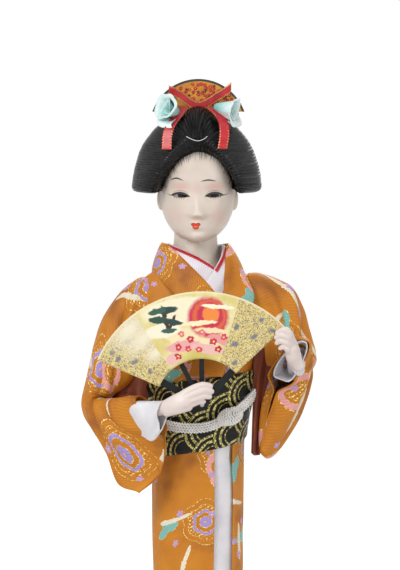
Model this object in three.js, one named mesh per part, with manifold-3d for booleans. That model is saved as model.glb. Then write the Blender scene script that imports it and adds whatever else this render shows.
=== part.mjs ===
// A dressed display doll: a lady in a long-sleeved kimono and brocade obi, with a dressed wig,
// holding an open fan, on a lacquered stand. Millimetres, +Z up, the doll looks along -Y.
// The origin is the middle of the stand's underside.
import * as THREE from "three";
import { ConvexGeometry } from "three/addons/geometries/ConvexGeometry.js";
import { mergeVertices } from "three/addons/utils/BufferGeometryUtils.js";
import Module from "manifold-3d";

const wasm = await Module();
wasm.setup();

// Clearance between pieces that touch.
const GAP = 0.3;

// Stand
const STAND_WIDTH = 150;
const STAND_DEPTH = 122;
const STAND_HEIGHT = 14;
const STAND_CORNER = 10;
const STEP_INSET = 6;
const STEP_HEIGHT = 5;
const PAD_RADIUS = 6;
const PAD_HEIGHT = 2;
const PAD_INSET = 13;
const POST_RADIUS = 1.6;
const POST_LENGTH = 222;
const POST_SEAT = 6;
const POST_BORE = POST_RADIUS + 0.5;
const POST_Y = 12.5;
const FLANGE_RADIUS = 5;
const FLANGE_HEIGHT = 1.6;

// Doll, measured up from the underside of the stand
const WAIST_X = -1.6;
const STAND_TOP = PAD_HEIGHT + STAND_HEIGHT;
const SOLE_THICKNESS = 3.2;
const HEM_LIFT = 3;
const HEM_Z = STAND_TOP + HEM_LIFT;
const OBI_BOTTOM_Z = 215.3;
const OBI_TOP_Z = 252;
const OBI_TILT = 4;
const OBI_THICKNESS = 2.2;
const CLOTH = 1.0;
const CONE_WALL = 1.2;
const COLLAR_CLOTH = 0.9;

// Head
const HEAD_X = -2.2;
const HEAD_Y = 1;
const HEAD_Z = 349;
const HEAD_HALF_HEIGHT = 29.5;
const HEAD_HALF_WIDTH = 18.7;
const FACE_DEPTH = 22;
const NAPE_DEPTH = 23;
const NECK_X = -3.2;
const NECK_Y = 2;
const NECK_RADIUS = 10.4;
const NECK_BOTTOM_Z = 297;
const NECK_FLARE = 15.2;
const DOWEL_RADIUS = 4;
const DOWEL_LENGTH = 26;

// Fan
const FAN_X = 0;
const FAN_Y = -46.6;
const FAN_Z = 242;
const FAN_OUTER = 55.5;
const FAN_INNER = 22.6;
const FAN_START_DEG = 45;
const FAN_END_DEG = 153.5;
const LEAF_THICKNESS = 0.5;
const STICK_THICKNESS = 0.5;
const RIVET_RADIUS = 1;

// Obi cord
const CORD_HEIGHT = 5.2;
const CORD_DEPTH = 2.6;

const v3 = (x, y, z) => new THREE.Vector3(x, y, z);
const rad = THREE.MathUtils.degToRad;
const mix = THREE.MathUtils.lerp;
const bell = (x, width) => Math.exp(-((x / width) ** 2));

// Closed geometry to a solid, turned the right way round, with corners closer than weld made one.
function solid(geometry, weld = 1e-4) {
  const bare = geometry.index ? geometry.toNonIndexed() : geometry.clone();
  for (const name of Object.keys(bare.attributes)) {
    if (name !== "position") bare.deleteAttribute(name);
  }
  const merged = mergeVertices(bare, weld);
  const points = merged.attributes.position.array;
  const corners = merged.index.array;
  const kept = [];
  for (let i = 0; i < corners.length; i += 3) {
    const [a, b, c] = [corners[i], corners[i + 1], corners[i + 2]];
    if (a !== b && b !== c && c !== a) kept.push(a, b, c);
  }
  let volume = 0;
  const at = (i) => v3(points[3 * i], points[3 * i + 1], points[3 * i + 2]);
  for (let i = 0; i < kept.length; i += 3) {
    volume += at(kept[i]).dot(at(kept[i + 1]).cross(at(kept[i + 2])));
  }
  if (volume < 0) kept.reverse();
  return new wasm.Manifold(
    new wasm.Mesh({ numProp: 3, vertProperties: points, triVerts: new Uint32Array(kept) }),
  );
}

// The largest body of a solid, after its neighbours are cut away.
function clear(piece, ...cutters) {
  let left = piece;
  for (const cutter of cutters) left = left.subtract(cutter);
  return left.decompose().sort((a, b) => b.volume() - a.volume())[0];
}

const join = (...pieces) => pieces.reduce((a, b) => a.add(b));

// A closed skin through rings of points. loop joins the last ring to the first, as on a tube with a bore.
function loft(rings, loop = false) {
  const points = rings.flat();
  const n = rings[0].length;
  const index = [];
  const bands = loop ? rings.length : rings.length - 1;
  for (let r = 0; r < bands; r++) {
    const a = r * n;
    const b = ((r + 1) % rings.length) * n;
    for (let i = 0; i < n; i++) {
      const j = (i + 1) % n;
      index.push(a + i, a + j, b + i, a + j, b + j, b + i);
    }
  }
  if (!loop) {
    for (const [start, turn] of [[0, false], [(rings.length - 1) * n, true]]) {
      const middle = v3(0, 0, 0);
      for (let i = 0; i < n; i++) middle.add(points[start + i]);
      points.push(middle.divideScalar(n));
      const m = points.length - 1;
      for (let i = 0; i < n; i++) {
        const j = (i + 1) % n;
        if (turn) index.push(m, start + i, start + j);
        else index.push(m, start + j, start + i);
      }
    }
  }
  return solid(new THREE.BufferGeometry().setFromPoints(points).setIndex(index));
}

// A sheet of even thickness under the face at(u, v), u and v from 0 to 1. side says which way is out.
function sheet(at, across, along, thickness, { wrap = false, side = 1, lift = 0 } = {}) {
  const columns = wrap ? across : across + 1;
  const step = 1e-3;
  const outer = [];
  const inner = [];
  for (let j = 0; j <= along; j++) {
    for (let i = 0; i < columns; i++) {
      const [u, v] = [i / across, j / along];
      const [u0, u1] = wrap ? [u - step, u + step] : [Math.max(0, u - step), Math.min(1, u + step)];
      const [w0, w1] = [Math.max(0, v - step), Math.min(1, v + step)];
      const normal = at(u1, v).sub(at(u0, v)).cross(at(u, w1).sub(at(u, w0)));
      normal.normalize().multiplyScalar(side);
      outer.push(at(u, v).addScaledVector(normal, lift));
      inner.push(at(u, v).addScaledVector(normal, lift - thickness));
    }
  }
  const total = outer.length;
  const index = [];
  const quad = (a, b, c, d) => index.push(a, b, c, a, c, d);
  const cell = (i, j) => j * columns + (i % columns);
  const lastColumn = wrap ? columns : columns - 1;
  for (let j = 0; j < along; j++) {
    for (let i = 0; i < lastColumn; i++) {
      const [a, b, c, d] = [cell(i, j), cell(i + 1, j), cell(i + 1, j + 1), cell(i, j + 1)];
      quad(a, b, c, d);
      quad(d + total, c + total, b + total, a + total);
    }
  }
  for (let i = 0; i < lastColumn; i++) {
    const [a, b] = [cell(i, 0), cell(i + 1, 0)];
    quad(b, a, a + total, b + total);
    const [c, d] = [cell(i, along), cell(i + 1, along)];
    quad(c, d, d + total, c + total);
  }
  if (!wrap) {
    for (let j = 0; j < along; j++) {
      const [a, b] = [cell(0, j), cell(0, j + 1)];
      quad(a, b, b + total, a + total);
      const [c, d] = [cell(columns - 1, j), cell(columns - 1, j + 1)];
      quad(d, c, c + total, d + total);
    }
  }
  return solid(new THREE.BufferGeometry().setFromPoints([...outer, ...inner]).setIndex(index));
}

// Value at x of a smooth curve through rows of [x, value, value, ...].
function along(rows, x, column) {
  const last = rows.length - 1;
  if (x <= rows[0][0]) return rows[0][column];
  if (x >= rows[last][0]) return rows[last][column];
  const i = rows.findIndex((row) => row[0] > x) - 1;
  const t = (x - rows[i][0]) / (rows[i + 1][0] - rows[i][0]);
  const slope = (k) => {
    const [a, b] = [rows[Math.max(0, k - 1)], rows[Math.min(last, k + 1)]];
    return (b[column] - a[column]) / (b[0] - a[0]);
  };
  const run = rows[i + 1][0] - rows[i][0];
  const [t2, t3] = [t * t, t * t * t];
  return (
    (2 * t3 - 3 * t2 + 1) * rows[i][column] +
    (t3 - 2 * t2 + t) * run * slope(i) +
    (3 * t2 - 2 * t3) * rows[i + 1][column] +
    (t3 - t2) * run * slope(i + 1)
  );
}

const curve = (points) => new THREE.CatmullRomCurve3(points.map((p) => v3(...p)), false, "centripetal");

// A round-ended limb through [x, y, z, radius] stations, flattened to flat times its width along y.
function limb(stations, sides = 10, steps = 3, flat = 1) {
  const path = curve(stations.map(([x, y, z]) => [x, y, z]));
  const radii = stations.map((s, i) => [i / (stations.length - 1), s[3]]);
  const rings = [];
  const count = (stations.length - 1) * steps;
  const side = Math.abs(path.getTangent(0).y) < 0.8 ? v3(0, -1, 0).cross(path.getTangent(0)) : v3(1, 0, 0);
  const ring = (centre, direction, radius) => {
    side.addScaledVector(direction, -side.dot(direction)).normalize();
    const front = direction.clone().cross(side).normalize();
    return Array.from({ length: sides }, (_, i) => {
      const turn = (2 * Math.PI * i) / sides;
      return centre
        .clone()
        .addScaledVector(side, radius * Math.cos(turn))
        .addScaledVector(front, radius * flat * Math.sin(turn));
    });
  };
  const cap = rad(52);
  const [start, end] = [path.getPoint(0), path.getPoint(1)];
  const [startWay, endWay] = [path.getTangent(0), path.getTangent(1)];
  const [startRadius, endRadius] = [radii[0][1], radii.at(-1)[1]];
  const before = start.clone().addScaledVector(startWay, -startRadius * Math.sin(cap));
  rings.push(ring(before, startWay, startRadius * Math.cos(cap)));
  for (let k = 0; k <= count; k++) {
    rings.push(ring(path.getPoint(k / count), path.getTangent(k / count), along(radii, k / count, 1)));
  }
  const beyond = end.clone().addScaledVector(endWay, endRadius * Math.sin(cap));
  rings.push(ring(beyond, endWay, endRadius * Math.cos(cap)));
  return loft(rings);
}

// An ellipsoid at a centre, with its three half-sizes.
function ball(centre, halves, wide = 20, high = 12) {
  const g = new THREE.SphereGeometry(1, wide, high);
  g.rotateX(Math.PI / 2);
  g.scale(...halves);
  g.translate(...centre);
  return solid(g);
}

// A turned shape about an upright axis, from [radius, z] pairs that start and end on the axis.
function turned(profile, x, y, sides = 32) {
  const g = new THREE.LatheGeometry(profile.map(([r, z]) => new THREE.Vector2(r, z)), sides);
  g.rotateX(Math.PI / 2);
  g.translate(x, y, 0);
  return solid(g);
}

const rod = (x, y, z0, z1, radius, sides = 16) =>
  turned([[0, z0], [radius, z0], [radius, z1], [0, z1]], x, y, sides);

// A flat outline in x and z, made solid from y0 to y1.
function plate(shape, y0, y1, curveSegments = 12) {
  const g = new THREE.ExtrudeGeometry(shape, { depth: y1 - y0, bevelEnabled: false, curveSegments });
  g.rotateX(Math.PI / 2);
  g.translate(0, y1, 0);
  return solid(g);
}

const doll = new THREE.Group();
const colours = {
  lacquer: [0x0c0b0d, 0.25, 0],
  felt: [0x26352a, 0.95, 0],
  steel: [0xb4b6b8, 0.35, 1],
  wood: [0xc79a62, 0.7, 0],
  straw: [0xcdb98a, 0.95, 0],
  card: [0xb9a488, 0.9, 0],
  bisque: [0xe4d6cb, 0.45, 0],
  glass: [0x1a0f0c, 0.08, 0],
  hair: [0x0d0d10, 0.4, 0],
  kimono: [0xc96f10, 0.6, 0],
  white: [0xe9e7ea, 0.7, 0],
  red: [0xb3202a, 0.5, 0],
  obi: [0x11150f, 0.6, 0],
  cord: [0xece8e2, 0.8, 0],
  gold: [0xd08f14, 0.35, 0.3],
  mint: [0xcfe8e6, 0.45, 0],
  paper: [0xd9c87c, 0.3, 0],
  sticks: [0x1c2024, 0.3, 0],
  skin: [0xe9dcd6, 0.4, 0],
};
const materials = {};
for (const [name, [color, roughness, metalness]] of Object.entries(colours)) {
  materials[name] = new THREE.MeshStandardMaterial({ color, roughness, metalness });
}

const geometryOf = (piece) => {
  const made = piece.getMesh();
  const g = new THREE.BufferGeometry();
  g.setAttribute("position", new THREE.BufferAttribute(new Float32Array(made.vertProperties), 3));
  return g.setIndex(new THREE.BufferAttribute(new Uint32Array(made.triVerts), 1));
};

function add(name, piece, material) {
  const g = geometryOf(solid(geometryOf(piece), 0.02));
  g.computeVertexNormals();
  const mesh = new THREE.Mesh(g, materials[material]);
  mesh.name = name;
  doll.add(mesh);
  return piece;
}

// Stand: a lacquered board with a stepped edge, four felt pads, and a steel post in a flange.
function board(width, depth, corner, z0, height, bevel) {
  const [w, d, r] = [width / 2 - bevel, depth / 2 - bevel, corner];
  const s = new THREE.Shape();
  s.moveTo(-w + r, -d);
  s.lineTo(w - r, -d);
  s.absarc(w - r, -d + r, r, -Math.PI / 2, 0);
  s.lineTo(w, d - r);
  s.absarc(w - r, d - r, r, 0, Math.PI / 2);
  s.lineTo(-w + r, d);
  s.absarc(-w + r, d - r, r, Math.PI / 2, Math.PI);
  s.lineTo(-w, -d + r);
  s.absarc(-w + r, -d + r, r, Math.PI, 1.5 * Math.PI);
  const g = new THREE.ExtrudeGeometry(s, {
    depth: height - 2 * bevel,
    bevelThickness: bevel,
    bevelSize: bevel,
    bevelSegments: 1,
    curveSegments: 2,
  });
  g.translate(0, 0, z0 + bevel);
  return solid(g);
}
const lowerBoard = board(STAND_WIDTH, STAND_DEPTH, STAND_CORNER, PAD_HEIGHT, STAND_HEIGHT - STEP_HEIGHT + 1, 0.8);
const upperBoard = board(
  STAND_WIDTH - 2 * STEP_INSET, STAND_DEPTH - 2 * STEP_INSET, STAND_CORNER - 3,
  STAND_TOP - STEP_HEIGHT, STEP_HEIGHT, 1.2,
);
const POST_X = WAIST_X;
const postHole = rod(POST_X, POST_Y, STAND_TOP - POST_SEAT, STAND_TOP + 1, POST_RADIUS + GAP);
add("stand_board", join(lowerBoard, upperBoard).subtract(postHole), "lacquer");
for (const [i, [sx, sy]] of [[-1, -1], [1, -1], [1, 1], [-1, 1]].entries()) {
  const x = sx * (STAND_WIDTH / 2 - PAD_INSET);
  const y = sy * (STAND_DEPTH / 2 - PAD_INSET);
  add(`felt_pad_${i + 1}`, rod(x, y, 0, PAD_HEIGHT - 0.05, PAD_RADIUS, 16), "felt");
}
const POST_BOTTOM = STAND_TOP - POST_SEAT + GAP;
const POST_TOP = POST_BOTTOM + POST_LENGTH;
add("stand_post", turned(
  [[0, POST_BOTTOM], [POST_RADIUS, POST_BOTTOM], [POST_RADIUS, POST_TOP - 1.2], [0.7, POST_TOP], [0, POST_TOP]],
  POST_X, POST_Y, 14,
), "steel");
const flangeBottom = STAND_TOP + 0.05;
const flangeTop = flangeBottom + FLANGE_HEIGHT;
add("post_flange", turned(
  [
    [0, flangeBottom], [FLANGE_RADIUS, flangeBottom], [FLANGE_RADIUS, flangeBottom + 0.9],
    [FLANGE_RADIUS - 1.6, flangeTop], [2.9, flangeTop + 2.4], [0, flangeTop + 2.4],
  ],
  POST_X, POST_Y, 16,
).subtract(rod(POST_X, POST_Y, STAND_TOP - 1, flangeTop + 5, POST_RADIUS + GAP, 12)), "steel");

// Outline of the dressed figure at a height: half-width, half-depth and middle, on the kimono's outer face.
const figure = [
  [HEM_Z, 37, 33, -0.5],
  [32, 32.5, 29.5, -0.8],
  [55, 27.5, 25.5, -1.2],
  [95, 24, 22.5, -1.6],
  [140, 22.6, 21, -2],
  [193, 22.9, 20.6, -2.1],
  [OBI_BOTTOM_Z, 22.4, 20.4, -1.8],
  [232, 24.4, 22.2, WAIST_X],
  [OBI_TOP_Z, 28.4, 25.2, -1.3],
  [264, 30.6, 26, -1.2],
  [278, 29, 23.6, -1.4],
  [291, 24, 19, -2],
  [301, 18.5, 15.6, NECK_X],
];
const SQUARENESS = 2.25;
function around(z, turn, out) {
  const power = 2 / SQUARENESS;
  const c = Math.cos(turn);
  const s = Math.sin(turn);
  const a = along(figure, z, 1) + out;
  const b = along(figure, z, 2) + out;
  return v3(
    along(figure, z, 3) + a * Math.sign(s) * Math.abs(s) ** power,
    -b * Math.sign(c) * Math.abs(c) ** power,
    z,
  );
}
// turn 0 is the front, and it grows towards +X.
function tube(z0, z1, outer, inner, { sides = 36, levels = 8, top = null, bottom = null } = {}) {
  const rings = [];
  const height = (k, turn) => {
    const low = bottom ? bottom(turn) : z0;
    const high = top ? top(turn) : z1;
    return mix(low, high, k / levels);
  };
  const ringAt = (k, out) =>
    Array.from({ length: sides }, (_, i) => {
      const turn = (2 * Math.PI * i) / sides;
      return around(height(k, turn), turn, out);
    });
  for (let k = 0; k <= levels; k++) rings.push(ringAt(k, outer));
  if (inner === null) return loft(rings);
  for (let k = levels; k >= 0; k--) rings.push(ringAt(k, inner));
  return loft(rings, true);
}

// Skirt: the outer kimono is open at the front and shows the white under-skirt; a card cone carries both.
const skirtTop = (turn) => OBI_BOTTOM_Z - GAP + OBI_TILT * Math.sin(turn);
const TRUNK_BOTTOM_Z = OBI_BOTTOM_Z + 2;
const CONE_TOP_Z = TRUNK_BOTTOM_Z - 2 * GAP;
const OPEN_FROM = rad(18);
const OPEN_TO = rad(48);
const FOLDS = 7;
const TOE_LIFT = 11;
const hem = (turn) => HEM_Z + TOE_LIFT * bell(Math.atan2(Math.sin(turn), Math.cos(turn)), 0.62);
add("kimono_skirt", sheet((u, v) => {
  const wide = (1 - v) ** 2;
  const turn = mix(OPEN_TO + rad(7) * wide, 2 * Math.PI + OPEN_FROM - rad(7) * wide, u);
  const fold = 1.5 * wide * (Math.cos(FOLDS * turn) - 1);
  return around(mix(hem(turn), skirtTop(turn), v ** 1.25), turn, fold);
}, 32, 7, CLOTH, { side: -1 }), "kimono");
const underFace = (inset, lift) => (u, v) => {
  const turn = 2 * Math.PI * u;
  return around(mix(hem(turn) + lift, CONE_TOP_Z, v), turn, -inset - 3.2 * (1 - v) ** 2);
};
add("under_skirt", sheet(underFace(CLOTH + GAP, 1), 22, 6, CLOTH, { wrap: true, side: -1 }), "white");
add("skirt_cone", sheet(underFace(2 * CLOTH + 3 * GAP, 3), 22, 6, CONE_WALL, { wrap: true, side: -1 }), "card");

// Feet in split-toed socks on sandals, and the dowels that stand on them.
const FOOT_X = 8.2;
const LEG_RADIUS = 3;
const LEG_TOP_Z = OBI_BOTTOM_Z + 16;
const SOLE_BOTTOM = STAND_TOP + 0.05;
const ANKLE_Z = SOLE_BOTTOM + SOLE_THICKNESS + 16;
for (const [side, sx] of [["right", -1], ["left", 1]]) {
  const x = WAIST_X + sx * FOOT_X;
  const s = new THREE.Shape();
  s.absellipse(x, 17, 6.6, 23, 0, 2 * Math.PI);
  const g = new THREE.ExtrudeGeometry(s, {
    depth: SOLE_THICKNESS - 1, bevelThickness: 0.5, bevelSize: 0.5, bevelSegments: 1, curveSegments: 8,
  });
  g.scale(1, -1, 1);
  g.translate(0, 0, SOLE_BOTTOM + 0.5);
  add(`sandal_${side}`, solid(g), "lacquer");
  const footZ = SOLE_BOTTOM + SOLE_THICKNESS + GAP;
  const foot = join(
    limb([[x, -33, footZ + 3.4, 3.3], [x, -22, footZ + 4.6, 4.6], [x, -6, footZ + 5.8, 5.2]], 8, 1),
    limb([[x, -6, footZ + 5.8, 5.2], [x, -1, footZ + 7, 5], [x, 0, ANKLE_Z - 2, 4.6]], 8, 1),
  );
  const under = new THREE.BoxGeometry(40, 90, 20).translate(x, -20, footZ - 10);
  const legHole = rod(x, 0, footZ + 9, 400, LEG_RADIUS + GAP);
  add(`sock_${side}`, clear(foot, solid(under), legHole), "white");
  add(`leg_dowel_${side}`, rod(x, 0, footZ + 9 + GAP, LEG_TOP_Z, LEG_RADIUS, 12), "wood");
}

// Sleeves. A row: v, the inner and outer edge of the sleeve's section, half its width, and how much it
// narrows towards the outer edge, which hangs under the forearm.
const sleeveRight = [
  [0, -24, -1, 262, -14, 1, 299.5, 13.5, 0],
  [0.16, -30, -2, 254, -33.6, -1, 298, 13, 0],
  [0.32, -37, -5, 248, -47, -3, 282.6, 12, 0.1],
  [0.48, -44, -9, 243, -54.6, -6, 262, 10.4, 0.2],
  [0.6, -48.6, -14, 240.6, -60, -9.4, 236, 9.2, 0.25],
  [0.72, -46.4, -21, 241.4, -54, -16, 225.4, 8.8, 0.3],
  [0.82, -42, -27, 242.4, -46.6, -21.6, 220, 8.2, 0.5],
  [0.92, -36.6, -32.4, 243.8, -41, -25.4, 205, 7.8, 0.56],
  [1, -31.5, -36.5, 244.4, -34, -28, 195, 7.8, 0.6],
];
const sleeveLeft = [
  [0, 22, -1, 264, 9, 1, 300.5, 13.5, 0],
  [0.16, 28.4, -3, 256, 31, 0, 301.2, 13, 0],
  [0.32, 34, -6, 252, 46.5, 2, 291.6, 12, 0.1],
  [0.48, 40, -10, 256, 51.5, 4, 270, 10, 0.15],
  [0.6, 45, -14, 264, 48.5, 2, 247, 9, 0.2],
  [0.72, 48, -18, 269.5, 41, -3, 228, 8.8, 0.25],
  [0.86, 49.5, -22, 271.5, 34, -10, 213, 8.8, 0.28],
  [1, 49.5, -27.6, 270.8, 30, -17, 207, 8.8, 0.3],
];
// The front edge under the wrist swings towards the middle of the doll, and its lower corner is round.
const FRONT_SWING = new Map([[sleeveRight, v3(14, 1, 0)], [sleeveLeft, v3(-5, 1, 3)]]);
const swingAt = (s) => (s < 0.5 ? Math.sin(Math.PI * s) : 1 - (2 * s - 1) ** 3);
// A point of the sleeve at v, and at s from the inner to the outer edge, spread along the width.
function sleevePoint(rows, v, s, spread, wide) {
  const edge = (w, k) => v3(along(rows, w, k), along(rows, w, k + 1), along(rows, w, k + 2));
  const middle = (w) => edge(w, 1).add(edge(w, 4));
  const out = edge(v, 4).sub(edge(v, 1));
  const across = middle(Math.min(1, v + 0.04)).sub(middle(Math.max(0, v - 0.04))).cross(out).normalize();
  return edge(v, 1)
    .addScaledVector(out, s)
    .addScaledVector(FRONT_SWING.get(rows), swingAt(s) * THREE.MathUtils.smoothstep(v, 0.8, 1))
    .addScaledVector(across, spread * wide);
}
function sleeveSection(rows, v, from, to, less) {
  const sides = 12;
  return Array.from({ length: sides }, (_, i) => {
    const a = (2 * Math.PI * i) / sides;
    const s = mix(from, to, (1 - Math.cos(a)) / 2);
    const fold = 1 + 0.08 * Math.sin(9 * s + 7 * v);
    const wide = along(rows, v, 7) * (1 - along(rows, v, 8) * Math.max(0, s) ** 1.4) * fold - less;
    const bulge = Math.sign(Math.sin(a)) * Math.abs(Math.sin(a)) ** 0.6;
    return sleevePoint(rows, v, s, bulge, Math.max(wide, 0.4));
  });
}

// Trunk: a wood-wool form under the bodice, whose shoulders run on into the sleeves.
const SHOULDER_SEAM = 0.3;
const TRUNK_SIDES = 16;
const shoulder = (rows, out) => loft([0, 0.1, 0.2, SHOULDER_SEAM + 0.025 * out].map((v) =>
  sleeveSection(rows, v, -0.024 * out, 1 + 0.024 * out, -out)));
function trunk(out, bottomZ) {
  const rings = [];
  for (const z of [bottomZ, 232, 248, 262, 276, 289, 301 + out]) {
    rings.push(Array.from({ length: TRUNK_SIDES }, (_, i) => around(z, (2 * Math.PI * i) / TRUNK_SIDES, out)));
  }
  return join(loft(rings), shoulder(sleeveRight, out), shoulder(sleeveLeft, out));
}
const bodiceOuter = trunk(0, OBI_BOTTOM_Z + OBI_TILT + 2);
const bodiceClear = trunk(GAP, OBI_BOTTOM_Z);

// Neck: turned, so that the head can turn in the collar.
const neckProfile = (out) => [
  [0, NECK_BOTTOM_Z - out], [NECK_FLARE + out, NECK_BOTTOM_Z - out], [NECK_FLARE + 0.2 + out, 302],
  [14 + out, 307], [12.2 + out, 312], [NECK_RADIUS + 0.5 + out, 317],
  [NECK_RADIUS + out, 323], [NECK_RADIUS + out, 336], [0, 336],
];
const neckRoom = turned(neckProfile(GAP + 0.1), NECK_X, NECK_Y, 20);
const dowelBottom = NECK_BOTTOM_Z - DOWEL_LENGTH;
const dowelRoom = rod(NECK_X, NECK_Y, dowelBottom - 1, NECK_BOTTOM_Z + 10, DOWEL_RADIUS + GAP);

// The V of the neckline, where the under-collar and the throat show.
const neckline = new THREE.Shape();
neckline.moveTo(-27, 322);
neckline.lineTo(-17.5, 300);
neckline.lineTo(4, 280);
neckline.lineTo(20, 300);
neckline.lineTo(22, 322);
neckline.closePath();
const necklineCut = plate(neckline, -40, 2);

// Arms: wire wrapped in wadding, inside the sleeves, ending in the wrists.
const grown = (stations, by) => stations.map(([x, y, z, r]) => [x, y, z, r + by]);
const palmRight = [[-21.4, -44.6, 238.6, 3.1], [-16, -46.6, 239.8, 3.9], [-10.5, FAN_Y - 3.6, 242.2, 4.4]];
const palmLeft = [[49.1, -38, 261, 3.1], [48, -41, 263.4, 3.8], [47, FAN_Y - 0.5, 267.4, 4.2]];
const arm = (shoulder, rows, palm) => [
  shoulder,
  ...[0.32, 0.5, 0.66, 0.84, 1].map((v) => {
    const at = sleevePoint(rows, v, mix(0.74, 0.14, v ** 1.5), 0, 0);
    return [at.x, at.y, at.z, mix(4.7, 2.6, v)];
  }),
  palm[0],
];
const armRight = arm([-27, -1, 281, 5], sleeveRight, palmRight);
const armLeft = arm([30, -1, 284, 5], sleeveLeft, palmLeft);
const armRoomRight = limb(grown(armRight, 2 * GAP), 8, 2);
const armRoomLeft = limb(grown(armLeft, 2 * GAP), 8, 2);
const wristRoomRight = join(armRoomRight, limb(grown(palmRight, 2 * GAP), 8, 1, 0.9));
const wristRoomLeft = join(armRoomLeft, limb(grown(palmLeft, 2 * GAP), 8, 1, 0.9));

const bodice = clear(
  bodiceOuter, trunk(-CLOTH, OBI_BOTTOM_Z - 4), necklineCut, neckRoom,
  rod(NECK_X, NECK_Y, 296, 330, NECK_FLARE + 1.4, 24), armRoomRight, armRoomLeft,
);
add("kimono_bodice", bodice, "kimono");
const coreTop = new THREE.BoxGeometry(90, 90, 40).translate(0, 0, NECK_BOTTOM_Z - GAP + 20);
add("trunk_core", clear(
  trunk(-CLOTH - 2 * GAP, TRUNK_BOTTOM_Z), solid(coreTop), dowelRoom, armRoomRight, armRoomLeft,
  rod(POST_X, POST_Y, OBI_BOTTOM_Z - 20, POST_TOP + 2, POST_BORE),
  rod(WAIST_X - FOOT_X, 0, OBI_BOTTOM_Z - 20, LEG_TOP_Z + GAP, LEG_RADIUS + GAP, 12),
  rod(WAIST_X + FOOT_X, 0, OBI_BOTTOM_Z - 20, LEG_TOP_Z + GAP, LEG_RADIUS + GAP, 12),
), "straw");

// Collars: one band each, from under the left front, round the nape, and down over the front.
const underCollarTop = curve([
  [16, -16.5, 296.5], [6.6, -14.9, 305.6], [-0.5, -14.4, 310.4], [-7.2, -11.9, 313.6], [-13.6, -6, 316], [-16, 2, 316.8],
  [-13.8, 12, 314.8], [-3.2, 17, 312.4], [7.4, 12, 314.8], [9.8, 2.5, 316.2], [10.2, -4, 314.4], [9.2, -10.8, 310.6],
  [6.2, -16.4, 305.4], [1.2, -18.7, 299], [-5, -20.6, 291],
]);
const underCollarFoot = curve([
  [10, -19, 289], [0.6, -18.2, 297.4], [-6.6, -17, 301.8], [-12.5, -13.8, 305], [-17.2, -7.4, 307.5], [-18.9, 2, 308.4],
  [-16.4, 13, 304.6], [-3.2, 17.6, 301], [10, 13, 304.6], [13.2, 2, 307.6], [14.2, -5, 305.6], [15.4, -12, 301.4],
  [14.6, -17.4, 296.6], [9.6, -20, 290.6], [4, -21.6, 284],
]);
const collarTop = curve([
  [23.5, -20.6, 264], [16.5, -22.6, 279.5], [6.6, -20.6, 293.4], [1.6, -19.3, 299.6], [-7, -15.8, 308.2], [-15.4, -7.6, 315.6],
  [-19.4, 1, 317.2], [-16.8, 14, 315.6], [-3.2, 20.4, 313.2], [10.4, 14, 315.6], [12.6, 2, 316.6], [12, -5.4, 315],
  [11, -19, 300], [10, -23.2, 293.2], [2.5, -27.4, 275], [-6.5, -29.2, 256],
]);
const collarFoot = curve([
  [12, -27.6, 256], [3, -26.4, 270], [-4, -23, 283], [-12.2, -19.4, 292], [-18.4, -13.4, 298.6], [-22.6, -5, 303.2],
  [-23.8, 3, 300], [-19, 15, 297], [-3.2, 20.4, 293.2], [13, 15, 297], [18.6, 3, 301], [20.4, -5.4, 302],
  [24.6, -16.4, 295], [24.4, -20, 288], [17, -26.4, 271], [9.5, -29.6, 256],
]);
const band = (top, foot, bulge) => (u, v) => {
  const point = foot.getPoint(u).lerp(top.getPoint(u), v);
  const away = point.clone().sub(v3(NECK_X, NECK_Y, point.z)).normalize();
  return point.addScaledVector(away, bulge * Math.sin(Math.PI * v));
};
const collarFace = band(collarTop, collarFoot, 0.7);
const collar = clear(sheet(collarFace, 28, 2, COLLAR_CLOTH, { side: 1 }), bodiceClear, neckRoom);
const collarRoom = sheet(collarFace, 28, 2, COLLAR_CLOTH + 2 * GAP, { side: 1, lift: GAP });
add("kimono_collar", collar, "kimono");
const underCollarFace = band(underCollarTop, underCollarFoot, 0.3);
const underCollar = clear(
  sheet(underCollarFace, 26, 2, COLLAR_CLOTH, { side: 1 }), collarRoom, collar, neckRoom, bodice,
);
add("under_collar", underCollar, "white");
const pipingFace = (u, v) => {
  const top = underCollarTop.getPoint(u);
  const foot = underCollarFoot.getPoint(u);
  const away = top.clone().sub(v3(NECK_X, NECK_Y, top.z)).normalize();
  return top.lerp(foot, 0.02 + 0.1 * (1 - v)).addScaledVector(away, 1.1);
};
add("collar_piping", clear(
  sheet(pipingFace, 26, 1, 0.7, { side: 1 }), collarRoom, neckRoom, bodice,
  sheet(underCollarFace, 26, 2, COLLAR_CLOTH + 2 * GAP, { side: 1, lift: 0.25 }),
), "red");

// Obi: a stiff brocade sash, wound round the waist a little higher on the doll's left.
const tilted = (z) => (turn) => z + OBI_TILT * Math.sin(turn);
const obiTube = (outer, inner, low, high, sides = 30, levels = 3) =>
  tube(0, 0, outer, inner, { sides, levels, bottom: tilted(low), top: tilted(high) });
const OBI_OUT = GAP + OBI_THICKNESS;
const shoulderRooms = join(shoulder(sleeveRight, GAP), shoulder(sleeveLeft, GAP));
const obi = clear(obiTube(OBI_OUT, 2 * GAP, OBI_BOTTOM_Z, OBI_TOP_Z), collarRoom, shoulderRooms);
add("obi", obi, "obi");
const obiRoom = obiTube(OBI_OUT + GAP, null, OBI_BOTTOM_Z - GAP, OBI_TOP_Z + GAP);
const skirtRoom = tube(150, OBI_BOTTOM_Z + 2, GAP, null, { sides: 32, levels: 2 });

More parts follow.
